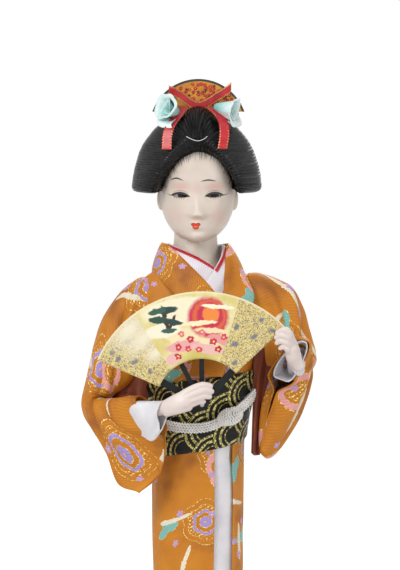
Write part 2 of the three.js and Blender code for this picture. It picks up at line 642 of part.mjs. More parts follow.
// Back bow: a boxed drum of brocade, its hanging end, and the cord that goes round them and ties in front.
const DRUM_WIDTH = 42;
const DRUM_LOW_Z = 219;
const DRUM_HIGH_Z = 259;
const DRUM_FRONT_Y = 22;
const DRUM_BACK_Y = 42;
const DRUM_X = WAIST_X;
const TAIL_LOW_Z = 208;
const TAIL_THICKNESS = 2.4;
const side = (points, x0, x1, bevel) => {
  const s = new THREE.Shape();
  s.setFromPoints(curve(points.map(([y, z]) => [y, z, 0])).getPoints(points.length).slice(0, -1));
  const g = new THREE.ExtrudeGeometry(s, {
    depth: x1 - x0 - 2 * bevel, bevelThickness: bevel, bevelSize: bevel, bevelOffset: -bevel, bevelSegments: 1,
  });
  g.rotateX(Math.PI / 2).rotateZ(Math.PI / 2);
  g.translate(x0 + bevel, 0, 0);
  return solid(g);
};
const drumOutline = [
  [DRUM_FRONT_Y, DRUM_HIGH_Z - 4], [30, DRUM_HIGH_Z], [38, DRUM_HIGH_Z - 5], [DRUM_BACK_Y, 246], [DRUM_BACK_Y, 232],
  [39, DRUM_LOW_Z + 3], [33, DRUM_LOW_Z], [DRUM_FRONT_Y, DRUM_LOW_Z + 2], [DRUM_FRONT_Y, DRUM_HIGH_Z - 4],
];
const drum = (grow) => {
  const [midY, midZ] = [(DRUM_FRONT_Y + DRUM_BACK_Y) / 2, (DRUM_LOW_Z + DRUM_HIGH_Z) / 2];
  const outline = drumOutline.map(([y, z]) => [y + grow * Math.sign(y - midY), z + grow * Math.sign(z - midZ)]);
  return side(outline, DRUM_X - DRUM_WIDTH / 2 - grow, DRUM_X + DRUM_WIDTH / 2 + grow, 1.6);
};
const cordHeight = [
  [-Math.PI, 238], [-2.2, 236], [-1.6, 235], [-0.8, 230.4], [0, 228], [0.5, 233.6], [1.3, 248], [1.7, 250],
  [2.3, 243], [Math.PI, 238],
];
const cordRing = (turn, grow) => {
  const z = along(cordHeight, turn, 1);
  const centre = around(z, turn, OBI_OUT + CORD_DEPTH / 2 + 0.45);
  const ahead = around(z, turn + 0.01, 0);
  const out = ahead.sub(around(z, turn - 0.01, 0)).cross(v3(0, 0, 1)).normalize();
  return Array.from({ length: 6 }, (_, i) => {
    const a = (2 * Math.PI * i) / 6;
    return centre
      .clone()
      .addScaledVector(out, (CORD_DEPTH / 2 + grow) * Math.cos(a))
      .addScaledVector(v3(0, 0, 1), (CORD_HEIGHT / 2 + grow) * Math.sin(a));
  });
};
const KNOT_TURN = 0.5;
const KNOT_HALF_TURN = 0.24;
const cordLoop = (grow) => {
  const from = KNOT_TURN + KNOT_HALF_TURN;
  const to = KNOT_TURN - KNOT_HALF_TURN + 2 * Math.PI;
  const turns = Array.from({ length: 27 }, (_, i) => mix(from, to, i / 26));
  return loft(turns.map((turn) => cordRing(turn > Math.PI ? turn - 2 * Math.PI : turn, grow)));
};
const knotAt = around(234.6, KNOT_TURN, OBI_OUT + CORD_DEPTH);
const knot = (grow) => join(
  ball([knotAt.x - 2.2, knotAt.y, knotAt.z - 0.6], [4.6 + grow, 3.2 + grow, 3.6 + grow], 8, 5),
  ball([knotAt.x + 2.8, knotAt.y + 0.4, knotAt.z + 0.8], [3.8 + grow, 3 + grow, 3.9 + grow], 8, 5),
);
add("obi_cord", cordLoop(0), "cord");
add("obi_cord_knot", clear(knot(0), obiRoom), "cord");
add("obi_drum", clear(drum(0), obiRoom, bodiceClear, collarRoom, cordLoop(GAP)), "obi");
const tailSheet = new THREE.BoxGeometry(DRUM_WIDTH - 8, TAIL_THICKNESS, DRUM_LOW_Z + 4 - TAIL_LOW_Z);
tailSheet.translate(DRUM_X, DRUM_FRONT_Y + 5, (DRUM_LOW_Z + 4 + TAIL_LOW_Z) / 2);
add("obi_tail", clear(solid(tailSheet), obiRoom, skirtRoom, drum(GAP)), "obi");

// A sleeve turns so sharply at the elbow that its sections cross. So its solid is the union of the hulls of
// neighbouring sections, taken half a section at a time, to keep the curve of the hanging edge. Each hull
// begins a small share of its length inside the one before, and the halves share a strip.
const SLEEVE_CLOTH = 0.9;
const CUFF_REACH = 11.7;
const CUFF_SLANT = 0.8;
const HULL_OVERLAP = 0.02;
function swept(rings) {
  const n = rings[0].length;
  const halves = [(i) => i <= n / 4 + 1 || i >= (3 * n) / 4 - 1, (i) => i >= n / 4 && i <= (3 * n) / 4];
  const hulls = [];
  for (let r = 1; r < rings.length; r++) {
    for (const half of halves) {
      const back = rings[r - 1].map((p, i) => p.clone().lerp(rings[r][i], r > 1 ? -HULL_OVERLAP : 0));
      const corners = [...back, ...rings[r]].filter((_, i) => half(i % n));
      hulls.push(solid(new ConvexGeometry(corners)));
    }
  }
  return join(...hulls);
}
// A tube of cloth through sections at steps. The hollow ends at the foot of the mouth, so that the two layers
// that hang under the forearm are one. Beyond 1 a step is a share of the cuff's reach past the mouth.
function sleeve(rows, steps, mouth, less) {
  const onward = sleevePoint(rows, 1, 0, 0, 0).sub(sleevePoint(rows, 0.9, 0, 0, 0)).setLength(CUFF_REACH);
  const section = (v, from, to, inset) => {
    const past = Math.max(0, v - 1);
    return sleeveSection(rows, Math.min(v, 1), from, to, inset).map((p, i, all) =>
      p.addScaledVector(onward, past * (1 - (CUFF_SLANT * (1 - Math.cos((2 * Math.PI * i) / all.length))) / 2)));
  };
  const foot = (v) => mix(0.97, mouth, THREE.MathUtils.smoothstep(v, 0.5, 0.9));
  const edge = (inset) => 0.03 * inset;
  const cloth = swept(steps.map((v) => section(v, edge(less), less > 0 ? foot(v) - edge(less) : 1, less)));
  const inset = less + SLEEVE_CLOTH;
  const runOut = 0.03;
  const hollow = [steps[0] - runOut, ...steps.slice(1, -1), steps.at(-1) + runOut];
  return cloth.subtract(swept(hollow.map((v) => section(v, edge(inset), foot(v) - edge(inset), inset))));
}
const bodyRoom = join(bodiceClear, obiRoom, skirtRoom);
const sleeves = {};
for (const [name, rows, mouth, wristRoom] of [
  ["right", sleeveRight, 0.44, wristRoomRight],
  ["left", sleeveLeft, 0.5, wristRoomLeft],
]) {
  const steps = [0.3, 0.45, 0.6, 0.74, 0.87, 1];
  sleeves[name] = clear(sleeve(rows, steps, mouth, 0), bodyRoom, collarRoom, cordLoop(GAP));
  add(`sleeve_${name}`, sleeves[name], "kimono");
  const cuff = name === "right" ? [0.9, 1, 2] : [0.9, 1];
  const lining = sleeve(rows, cuff, mouth - 0.05, SLEEVE_CLOTH + 2 * GAP);
  add(`under_sleeve_${name}`, clear(lining, bodyRoom, wristRoom), "white");
}
add("arm_right", limb(armRight, 8, 2), "straw");
add("arm_left", limb(armLeft, 8, 2), "straw");

// Fan: a printed leaf, glued to two guards and two ribs behind it, and a rivet through all four sticks.
const ray = (deg, radius) => [FAN_X + radius * Math.cos(rad(deg)), FAN_Z + radius * Math.sin(rad(deg))];
const leafShape = new THREE.Shape();
leafShape.absarc(FAN_X, FAN_Z, FAN_OUTER, rad(FAN_START_DEG), rad(FAN_END_DEG), false);
leafShape.absarc(FAN_X, FAN_Z, FAN_INNER, rad(FAN_END_DEG), rad(FAN_START_DEG), true);
add("fan_leaf", plate(leafShape, FAN_Y, FAN_Y + LEAF_THICKNESS, 24), "paper");
function stick(deg, from, to, width, y) {
  const s = new THREE.Shape();
  const [c, n] = [[Math.cos(rad(deg)), Math.sin(rad(deg))], [-Math.sin(rad(deg)), Math.cos(rad(deg))]];
  const at = (r, w) => [FAN_X + c[0] * r + n[0] * w, FAN_Z + c[1] * r + n[1] * w];
  s.moveTo(...at(from, -width / 2));
  s.lineTo(...at(to, -width / 2));
  s.lineTo(...at(to, width / 2));
  s.lineTo(...at(from, width / 2));
  s.closePath();
  return plate(s, y, y + STICK_THICKNESS);
}
const rivetRoom = (() => {
  const g = new THREE.CylinderGeometry(RIVET_RADIUS + 0.15, RIVET_RADIUS + 0.15, 12, 12);
  g.translate(FAN_X, FAN_Y, FAN_Z);
  return solid(g);
})();
const layer = (n) => FAN_Y + LEAF_THICKNESS + 0.1 + (n - 1) * (STICK_THICKNESS + 0.1);
const FAN_BACK_Y = layer(5) + GAP - 0.1;
const guards = { left: [FAN_START_DEG + 3.6, 1], right: [FAN_END_DEG - 3.6, 2] };
for (const [name, [deg, n]] of Object.entries(guards)) {
  add(`fan_guard_${name}`, stick(deg, -2.4, FAN_OUTER - 1, 3.4, layer(n)).subtract(rivetRoom), "sticks");
}
add("fan_rib_1", stick(90.5, -2.2, FAN_OUTER - 4, 2.4, layer(3)).subtract(rivetRoom), "sticks");
add("fan_rib_2", stick(117, -2.2, FAN_OUTER - 4, 2.4, layer(4)).subtract(rivetRoom), "sticks");
const rivetLength = 4 * (STICK_THICKNESS + 0.1) + 0.5;
const rivet = new THREE.CylinderGeometry(RIVET_RADIUS, RIVET_RADIUS, rivetLength, 12);
rivet.translate(FAN_X, layer(1) - 0.4 + rivetLength / 2, FAN_Z);
add("fan_rivet", solid(rivet), "steel");
const fanPath = new THREE.Shape();
fanPath.moveTo(...ray(260, 3.4));
fanPath.lineTo(...ray(335, 3.4));
fanPath.lineTo(...ray(FAN_START_DEG - 2.5, FAN_OUTER + 3));
fanPath.lineTo(FAN_X + 42, FAN_Z + 130);
fanPath.lineTo(FAN_X - 62, FAN_Z + 130);
fanPath.lineTo(...ray(FAN_END_DEG + 2.5, FAN_OUTER + 3));
fanPath.lineTo(...ray(200, 3.4));
fanPath.closePath();
const fanRoom = plate(fanPath, FAN_Y - GAP, FAN_BACK_Y);

// Hands: fingers in front of the fan and a thumb behind it.
const frontY = FAN_Y - GAP;
const backY = FAN_BACK_Y;
const handRight = join(
  limb(palmRight, 8, 1, 0.8),
  limb([[-11.5, frontY - 1.9, 245.4, 2.4], [-4, frontY - 3.6, 248.8, 2.1], [3.6, frontY - 1.9, 250.2, 1.8]], 6, 1),
  limb([[-11, frontY - 2.1, 242.6, 2.4], [-4, frontY - 3.9, 245.6, 2.1], [3.2, frontY - 1.9, 246.9, 1.8]], 6, 1),
  limb([[-11, frontY - 2, 240, 2.3], [-5, frontY - 3.6, 242.6, 2], [0.8, frontY - 1.9, 243.8, 1.7]], 6, 1),
  limb([[-11.5, frontY - 1.6, 238, 2.1], [-6.5, frontY - 2.9, 239.8, 1.8], [-2.2, frontY - 1.7, 240.8, 1.5]], 6, 1),
  limb([[-16, -46, 241, 3], [-10.5, backY + 2.2, 243.8, 2.3], [-4.6, backY + 1.9, 246.4, 1.9]], 6, 1),
);
const handLeft = join(
  limb(palmLeft, 8, 1, 0.8),
  limb([[47.4, frontY + 1, 270, 2.4], [45.8, frontY - 2.4, 274.8, 2.1], [42.6, frontY - 1.9, 278, 1.8]], 6, 1),
  limb([[46.2, frontY + 1, 268, 2.3], [43.6, frontY - 2.6, 273, 2.1], [39.6, frontY - 1.9, 276.4, 1.8]], 6, 1),
  limb([[45, frontY + 1, 266, 2.2], [42, frontY - 2.2, 269.6, 2], [38.4, frontY - 1.8, 272.6, 1.7]], 6, 1),
  limb([[46.4, -44, 266, 2.8], [42.6, backY + 2.2, 271, 2.2], [38, backY + 1.9, 274.8, 1.8]], 6, 1),
);
add("hand_right", clear(handRight, fanRoom, armRoomRight), "skin");
add("hand_left", clear(handLeft, fanRoom, armRoomLeft), "skin");

// Head, turned neck and ears. Rows: height, half-width, front depth, back depth.
const headRows = [
  [HEAD_Z - HEAD_HALF_HEIGHT, 2.5, 19, 0],
  [HEAD_Z - 27, 8.5, 20.4, 4],
  [HEAD_Z - 24.5, 11.6, 21, 8],
  [HEAD_Z - 20.5, 14.8, 21.2, 13],
  [HEAD_Z - 15.5, 17.4, 21.4, 18],
  [HEAD_Z - 9, 18.6, 21.6, 21],
  [HEAD_Z, HEAD_HALF_WIDTH, FACE_DEPTH, NAPE_DEPTH],
  [HEAD_Z + 9, 18.6, 21.8, 23],
  [HEAD_Z + 17, 17, 19.8, 21.4],
  [HEAD_Z + 24, 12.6, 15, 16.4],
  [HEAD_Z + 28, 6.8, 8.4, 9],
  [HEAD_Z + HEAD_HALF_HEIGHT, 1.5, 2, 2],
];
const noseRelief = (x, z) => {
  const t = THREE.MathUtils.clamp((z - 332.6) / 11, -0.5, 1);
  const bridge = z > 334 ? 4.2 * (1 - t) ** 1.1 : 4.2 * bell(z - 334, 2.6);
  return Math.max(0, bridge) * bell(x, 2.3 + 1.3 * bell(z - 334, 4));
};
const relief = (x, z) =>
  noseRelief(x, z) +
  1.3 * bell(Math.hypot(x * 0.8, (z - 327.8) * 1.5), 3.6) +
  1.2 * bell(Math.hypot(x, z - 321.6), 4.4) -
  1.3 * bell(Math.hypot((Math.abs(x) - 8.4) * 0.75, z - 343), 4);
function headPoint(z, turn, out) {
  const s = Math.sin(turn);
  const c = Math.cos(turn);
  const wide = along(headRows, z, 1) + out;
  const deep = along(headRows, z, c > 0 ? 2 : 3) + out;
  const x = wide * Math.sign(s) * Math.abs(s) ** 0.94;
  const y = -deep * Math.sign(c) * Math.abs(c) ** 0.94;
  return v3(HEAD_X + x, HEAD_Y + y - (c > 0.2 ? relief(x, z) : 0), z);
}
const headTurns = [];
for (let i = 0; i < 12; i++) headTurns.push(rad(mix(-56, 56, i / 12)));
for (let i = 0; i < 8; i++) headTurns.push(rad(mix(56, 304, i / 8)));
const headHeights = [-29.3, -28, -26, -23.4, -21, -18.6, -16.6, -15, -12.6, -9, -5.4, 0, 9, 18, 25, 29.3];
const headSolid = (out, heights = headHeights, turns = headTurns) =>
  loft(heights.map((h) => turns.map((turn) => headPoint(HEAD_Z + h, turn, out))));
const ears = (out) => join(...[-1, 1].map((sx) =>
  ball([HEAD_X + sx * 18.4, HEAD_Y + 1.4, 339], [1.9 + out, 3.2 + out, 5.6 + out], 7, 4)));
const headForm = (out) => join(headSolid(out), turned(neckProfile(out), NECK_X, NECK_Y, 20), ears(out));
const wigHeights = headHeights.filter((h, i) => i % 2 === 0 || h > 0);
const wigTurns = Array.from({ length: 14 }, (_, i) => (2 * Math.PI * i) / 14);
const headRoom = join(headSolid(0.9, wigHeights, wigTurns), turned(neckProfile(GAP), NECK_X, NECK_Y, 16), ears(GAP));
const EYE_X = 8.3;
const EYE_Z = 343.4;
const EYE_RADIUS = 5.4;
const EYE_Y = HEAD_Y - 13.4;
const EYE_HALF_LENGTH = 4.6;
const EYE_OPENING = 1.5;
const eyeBall = (sx, grow) =>
  ball([HEAD_X + sx * EYE_X, EYE_Y, EYE_Z], [EYE_RADIUS + grow, EYE_RADIUS + grow, EYE_RADIUS + grow], 10, 6);
const lidOpening = (sx) => {
  const s = new THREE.Shape();
  const x = HEAD_X + sx * EYE_X;
  s.moveTo(x - EYE_HALF_LENGTH, EYE_Z);
  s.quadraticCurveTo(x, EYE_Z + 2 * EYE_OPENING, x + EYE_HALF_LENGTH, EYE_Z);
  s.quadraticCurveTo(x, EYE_Z - 2 * EYE_OPENING, x - EYE_HALF_LENGTH, EYE_Z);
  return plate(s, -40, EYE_Y, 4);
};
const dowelHole = rod(NECK_X, NECK_Y, dowelBottom - 1, NECK_BOTTOM_Z + 14, DOWEL_RADIUS + GAP);
add("head", clear(
  headForm(0), eyeBall(-1, GAP), eyeBall(1, GAP), lidOpening(-1), lidOpening(1), dowelHole,
), "bisque");
add("eye_right", eyeBall(-1, 0), "glass");
add("eye_left", eyeBall(1, 0), "glass");
add("neck_dowel", rod(NECK_X, NECK_Y, dowelBottom, NECK_BOTTOM_Z + 13.6, DOWEL_RADIUS, 14), "wood");

// Wig: front roll, two side wings, the back and a top knot, all cut to the hairline.
const window = new THREE.Shape();
const hairline = [
  [-21.6, 342.8], [-18.6, 349.8], [-15, 355.8], [-10.4, 361], [-6, 363.8], [-1.2, 364.8], [3.6, 364], [8.4, 361.6],
  [12.8, 356.2], [14.8, 350.6], [17.2, 342.8],
];
window.setFromPoints(hairline.map(([x, z]) => new THREE.Vector2(x, z)));
window.lineTo(20, 300);
window.lineTo(-24, 300);
window.closePath();
const faceWindow = plate(window, -60, HEAD_Y - 1);
const flatUnder = (z) => solid(new THREE.BoxGeometry(120, 120, 60).translate(0, 0, z - 30));
const WING_BOTTOM_Z = 342.8;
const wing = (sx, grow) =>
  ball([HEAD_X + 0.4 - (sx > 0 ? 0.8 : 0) + sx * 14.6, 2, 346], [18.4 + grow, 18 + grow, 30 + grow], 16, 8);
const roll = (grow) => ball([-2.6, -7, 369.5], [15.6 + grow, 16.6 + grow, 15.4 + grow], 16, 8);
const nape = (grow) => join(
  ball([HEAD_X, 8, 352], [20.6 + grow, 22 + grow, 30 + grow], 16, 8),
  ball([HEAD_X, 18, 338], [15 + grow, 13 + grow, 15 + grow], 12, 6),
);
const bun = (grow) => ball([-2, 8.4, 380], [20.6 + grow, 13.6 + grow, 13.4 + grow], 16, 8);
const COMB_RADIUS = 24.2;
const COMB_Z = 375.2;
const COMB_Y = -5.6;
const COMB_THICKNESS = 2.2;
const comb = (grow) => {
  const s = new THREE.Shape();
  const start = Math.asin((8 - 2 * grow) / COMB_RADIUS);
  s.absarc(-1.8, COMB_Z, COMB_RADIUS + grow, start, Math.PI - start, false);
  s.closePath();
  return plate(s, COMB_Y - grow, COMB_Y + COMB_THICKNESS + grow, 24);
};
add("comb", comb(0), "gold");
const ROSE_AT = { right: [-16.6, -13, 383.6], left: [12.6, -13, 384.2] };
const PIN_WAY = { right: v3(-0.42, -0.4, 0.62).normalize(), left: v3(0.4, -0.4, 0.62).normalize() };
const PIN_RADIUS = 0.7;
const PIN_LENGTH = 11;
const pinRod = (name, grow, length) => {
  const g = new THREE.CylinderGeometry(PIN_RADIUS + grow, PIN_RADIUS + grow, length, 10);
  g.translate(0, -length / 2, 0);
  g.applyQuaternion(new THREE.Quaternion().setFromUnitVectors(v3(0, 1, 0), PIN_WAY[name]));
  g.translate(...ROSE_AT[name]);
  return solid(g);
};
const pinRooms = join(pinRod("right", GAP, PIN_LENGTH + 1), pinRod("left", GAP, PIN_LENGTH + 1));
const roseForm = (name, grow) => {
  const [x, y, z] = ROSE_AT[name];
  const petals = [ball([x, y, z], [5 + grow, 3.6 + grow, 5 + grow], 8, 4)];
  for (let i = 0; i < 5; i++) {
    const a = rad(18 + 72 * i);
    const at = [x + 4.1 * Math.cos(a), y + 0.7, z + 3.7 * Math.sin(a)];
    petals.push(ball(at, [4.1 + grow, 3.2 + grow, 4 + grow], 7, 4));
  }
  return join(...petals);
};
const roseRooms = join(roseForm("right", GAP), roseForm("left", GAP));
const hairParts = [
  ["hair_front", roll, []],
  ["hair_bun", bun, [roll]],
  ["hair_side_right", (g) => wing(-1, g), [roll, bun]],
  ["hair_side_left", (g) => wing(1, g), [roll, bun, (g) => wing(-1, g)]],
  ["hair_back", nape, [roll, bun, (g) => wing(-1, g), (g) => wing(1, g)]],
];
for (const [name, form, before] of hairParts) {
  const cutters = [headRoom, faceWindow, comb(GAP), pinRooms, roseRooms, ...before.map((f) => f(GAP))];
  if (name.includes("side")) cutters.push(flatUnder(WING_BOTTOM_Z));
  if (name === "hair_back") {
    cutters.push(flatUnder(327), solid(new THREE.BoxGeometry(90, 60, 60).translate(0, -27, 313.6)));
  }
  add(name, clear(form(0), ...cutters), "hair");
}
const hairRooms = hairParts.map(([, form]) => form(GAP));
for (const name of ["right", "left"]) {
  add(`rosette_${name}`, clear(roseForm(name, 0), pinRod(name, 0.1, 30), comb(GAP)), "mint");
  add(`hairpin_${name}`, pinRod(name, 0, PIN_LENGTH), "steel");
}

// Ribbon over the comb, its two hanging ends, and the thread that ties the front roll.
const ribbon = (points, width, thickness) => {
  const path = curve(points);
  const at = (u, v) => path.getPoint(u).add(v3(0, 0, (v - 0.5) * width));
  return sheet(at, points.length * 3, 1, thickness, { side: 1 });
};
const ribbonBand = ribbon(
  [[-19.6, -9, 391.6], [-10, -8.6, 389.4], [-1.6, -8.4, 386.6], [8, -8.6, 390.4], [16.4, -9, 393.4]], 4.4, 0.7,
);
add("ribbon_band", clear(ribbonBand, comb(GAP), roseRooms, ...hairRooms), "red");

const tailRibbon = (points, width) => {
  const path = curve(points);
  const at = (u, v) => path.getPoint(u).add(v3((v - 0.5) * width, 0, 0));
  return sheet(at, points.length * 2, 1, 0.7, { side: -1 });
};
const hangs = {
  right: [[-14.4, -17.4, 380], [-15.2, -18.4, 374], [-15.8, -17.4, 368], [-16.6, -15.2, 364]],
  left: [[8.6, -18.6, 380], [9.6, -19.8, 374], [10, -18.8, 368], [10.4, -17, 365]],
};
for (const [name, points] of Object.entries(hangs)) {
  add(`ribbon_tail_${name}`, clear(tailRibbon(points, 4.4), roseRooms, ...hairRooms), "red");
}

export default doll;
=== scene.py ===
# %% [markdown]
# # A dressed display doll, modelled in Blender
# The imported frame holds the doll's sizes. This lesson dresses it: cloth, hair, a painted face and a fan.
# All sizes are written in millimetres, as a doll maker would, and turned to metres when a mesh is made.

# %% Load the frame
import math

import bmesh
import bpy
import numpy as np
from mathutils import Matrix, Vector


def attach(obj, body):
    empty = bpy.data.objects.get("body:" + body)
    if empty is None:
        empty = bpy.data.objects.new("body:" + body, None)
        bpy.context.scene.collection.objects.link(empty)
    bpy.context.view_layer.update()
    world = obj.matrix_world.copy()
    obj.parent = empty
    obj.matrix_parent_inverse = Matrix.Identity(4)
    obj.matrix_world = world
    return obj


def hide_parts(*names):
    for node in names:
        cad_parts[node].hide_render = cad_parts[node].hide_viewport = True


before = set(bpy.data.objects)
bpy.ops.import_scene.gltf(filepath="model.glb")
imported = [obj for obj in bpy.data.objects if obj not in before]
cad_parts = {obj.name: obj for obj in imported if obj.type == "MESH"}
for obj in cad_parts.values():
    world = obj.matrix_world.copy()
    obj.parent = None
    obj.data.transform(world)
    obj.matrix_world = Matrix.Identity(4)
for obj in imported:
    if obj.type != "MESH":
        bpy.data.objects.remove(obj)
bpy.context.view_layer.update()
MM = 0.001

# %% [markdown]
# ## Camera
# The photograph looks at the doll from a little above its waist, slightly downwards, from about a metre and a
# half away. A long lens keeps the face from bulging. The long side of the sensor is the picture's height.

# %% Camera
LENS_MM, SENSOR_MM = 189.5, 36
CAMERA_PLACE, CAMERA_AIM = (-0.001, -1.4943, 0.4272), (-0.001, 0, 0.2965)
camera = bpy.data.objects.new("camera", bpy.data.cameras.new("camera"))
bpy.context.scene.collection.objects.link(camera)
camera.data.lens = LENS_MM
camera.data.sensor_width = SENSOR_MM
camera.location = CAMERA_PLACE
aim = Vector(CAMERA_AIM) - camera.location
camera.rotation_euler = aim.to_track_quat("-Z", "Y").to_euler()
camera.data.clip_end = 20
bpy.context.scene.camera = camera
print("camera distance, mm:", round(aim.length / MM))

# %% [markdown]
# ## Light
# A product photograph on white: one large soft lamp from the upper left, a small one above that draws the gloss on
# the hair, a weaker one from the right, one from behind, and an even white world. The white that the camera sees is
# set apart from the light that falls on the doll, so the colours stay as they are written. The floor is white too,
# and keeps the doll's shadow.


# %% Helpers for nodes and colours
def linear(hex_code, alpha=1.0):
    """An sRGB hex colour as Blender's linear colour."""
    parts = [int(hex_code[i : i + 2], 16) / 255 for i in (0, 2, 4)]
    return tuple(c / 12.92 if c <= 0.04045 else ((c + 0.055) / 1.055) ** 2.4 for c in parts) + (alpha,)


def add(tree, kind, inputs=(), out=0, stops=(), **settings):
    """Adds a node, sets or links its inputs, and gives back one output, or the node if out is None.
    inputs: values or sockets in their order, or {name: value or socket}. stops: (place, hex, alpha) of a ramp."""
    node = tree.nodes.new(kind if kind.startswith("GeometryNode") else "ShaderNode" + kind)
    for name, value in settings.items():
        setattr(node, name, value)
    for name, value in inputs.items() if isinstance(inputs, dict) else enumerate(inputs):
        if isinstance(value, bpy.types.NodeSocket):
            tree.links.new(value, node.inputs[name])
        elif value is not None:
            node.inputs[name].default_value = value
    for k, (place, *colour) in enumerate(stops):
        element = node.color_ramp.elements[k] if k < 2 else node.color_ramp.elements.new(place)
        element.position = place
        element.color = linear(*colour)
    return node if out is None else node.outputs[out]


def finish(name, **sockets):
    """A new material with its shader's sockets set. Gives back the material, its tree and its shader."""
    made = bpy.data.materials.new(name)
    made.use_nodes = True
    shader = made.node_tree.nodes["Principled BSDF"]
    for socket, value in sockets.items():
        shader.inputs[socket.replace("_", " ")].default_value = value
    return made, made.node_tree, shader


# %% Lamps, world and floor
def lamp(name, place, target, size, watts):
    """A square soft lamp at a place in metres, aimed at a target."""
    light = bpy.data.lights.new(name, "AREA")
    light.size = size
    light.energy = watts
    holder = bpy.data.objects.new(name, light)
    holder.location = place
    holder.rotation_euler = (Vector(target) - Vector(place)).to_track_quat("-Z", "Y").to_euler()
    bpy.context.scene.collection.objects.link(holder)


lamp("key_lamp", (-0.75, -1.1, 1.1), (0, 0, 0.28), 0.6, 12.5)
lamp("top_lamp", (-0.05, -0.6, 1.3), (0, 0, 0.34), 0.25, 2)
lamp("side_lamp", (1.1, -0.7, 0.6), (0, 0, 0.28), 0.7, 4)
lamp("back_lamp", (0.2, 1.0, 0.9), (0, 0, 0.3), 0.6, 5)
world = bpy.data.worlds.new("studio")
bpy.context.scene.world = world
world.use_nodes = True
bpy.context.scene.view_settings.view_transform = "Standard"


def seen_directly(tree):
    """One where a ray comes from the camera, from a reflection or through glass, and nought for lighting rays."""
    path = add(tree, "LightPath", out=None)
    seen = add(tree, "Math", (path.outputs["Is Camera Ray"], path.outputs["Is Glossy Ray"]), operation="MAXIMUM")
    return add(tree, "Math", (seen, path.outputs["Is Transmission Ray"]), operation="MAXIMUM")


AMBIENT, FLOOR_GLOW, FLOOR_SHARE = 0.38, 1.55, 0.55
tree = world.node_tree
strength = add(tree, "Math", (seen_directly(tree), 1 - AMBIENT, AMBIENT), operation="MULTIPLY_ADD")
tree.nodes["Background"].inputs[0].default_value = (1, 1, 1, 1)
tree.links.new(strength, tree.nodes["Background"].inputs[1])

floor_white, tree, shader = finish("white_paper_floor", Roughness=0.9)
shader.inputs["Base Color"].default_value = linear("F4F4F4")
glow = add(tree, "Emission", {"Color": (1, 1, 1, 1), "Strength": FLOOR_GLOW})
blend = add(tree, "MixShader", (FLOOR_SHARE, shader.outputs[0], glow))
blend = add(tree, "MixShader", (seen_directly(tree), shader.outputs[0], blend))
tree.links.new(blend, tree.nodes["Material Output"].inputs[0])
floor_mesh = bpy.data.meshes.new("floor")
floor_mesh.from_pydata([(-3, -3, 0), (3, -3, 0), (3, 3, 0), (-3, 3, 0)], [], [(0, 1, 2, 3)])
floor = bpy.data.objects.new("floor", floor_mesh)
bpy.context.scene.collection.objects.link(floor)
floor.data.materials.append(floor_white)

# %% [markdown]
# ## From numbers to surfaces
# Cloth, skin and hair all start as a rule that gives a place for two numbers, u across and v along. One helper
# samples such a rule on a grid, makes a mesh of it, and measures the cloth as it goes, so that each piece has a
# UV map in metres. A weave drawn on that map has the same thread spacing everywhere.


# %% Surface helpers
def coat(mesh, *materials):
    """Gives a mesh these materials and no others."""
    mesh.materials.clear()
    for material in materials:
        mesh.materials.append(material)


def link(name, mesh, *materials, smooth=True):
    """A new object for a mesh."""
    made = bpy.data.objects.new(name, mesh)
    bpy.context.scene.collection.objects.link(made)
    coat(mesh, *materials)
    if smooth:
        mesh.shade_smooth()
    return made


def grid(at, across, along):
    """Samples at(u, v), which takes and gives arrays, on a grid. Gives points[row, column] in millimetres."""
    u, v = np.meshgrid(np.linspace(0, 1, across + 1), np.linspace(0, 1, along + 1))
    return at(u, v)


def normals_of(points):
    """Unit normals of a grid of points, by the cross product of its two directions."""
    normal = np.cross(np.gradient(points, axis=1), np.gradient(points, axis=0))
    return normal / np.maximum(np.linalg.norm(normal, axis=2, keepdims=True), 1e-9)


def measure(points, offset=(0, 0)):
    """Lengths across and along a grid, in metres, from its middle column and each row's own stretch."""
    across = np.linalg.norm(np.diff(points, axis=1), axis=2)
    along = np.linalg.norm(np.diff(points, axis=0), axis=2).mean(axis=1)
    x = np.concatenate([np.zeros((len(points), 1)), np.cumsum(across, axis=1)], axis=1)
    x -= x[:, [x.shape[1] // 2]]
    y = np.concatenate([[0], np.cumsum(along)])[:, None] + 0 * x
    return (x + offset[0]) * MM, (y + offset[1]) * MM


WELD_DISTANCE = 1e-6


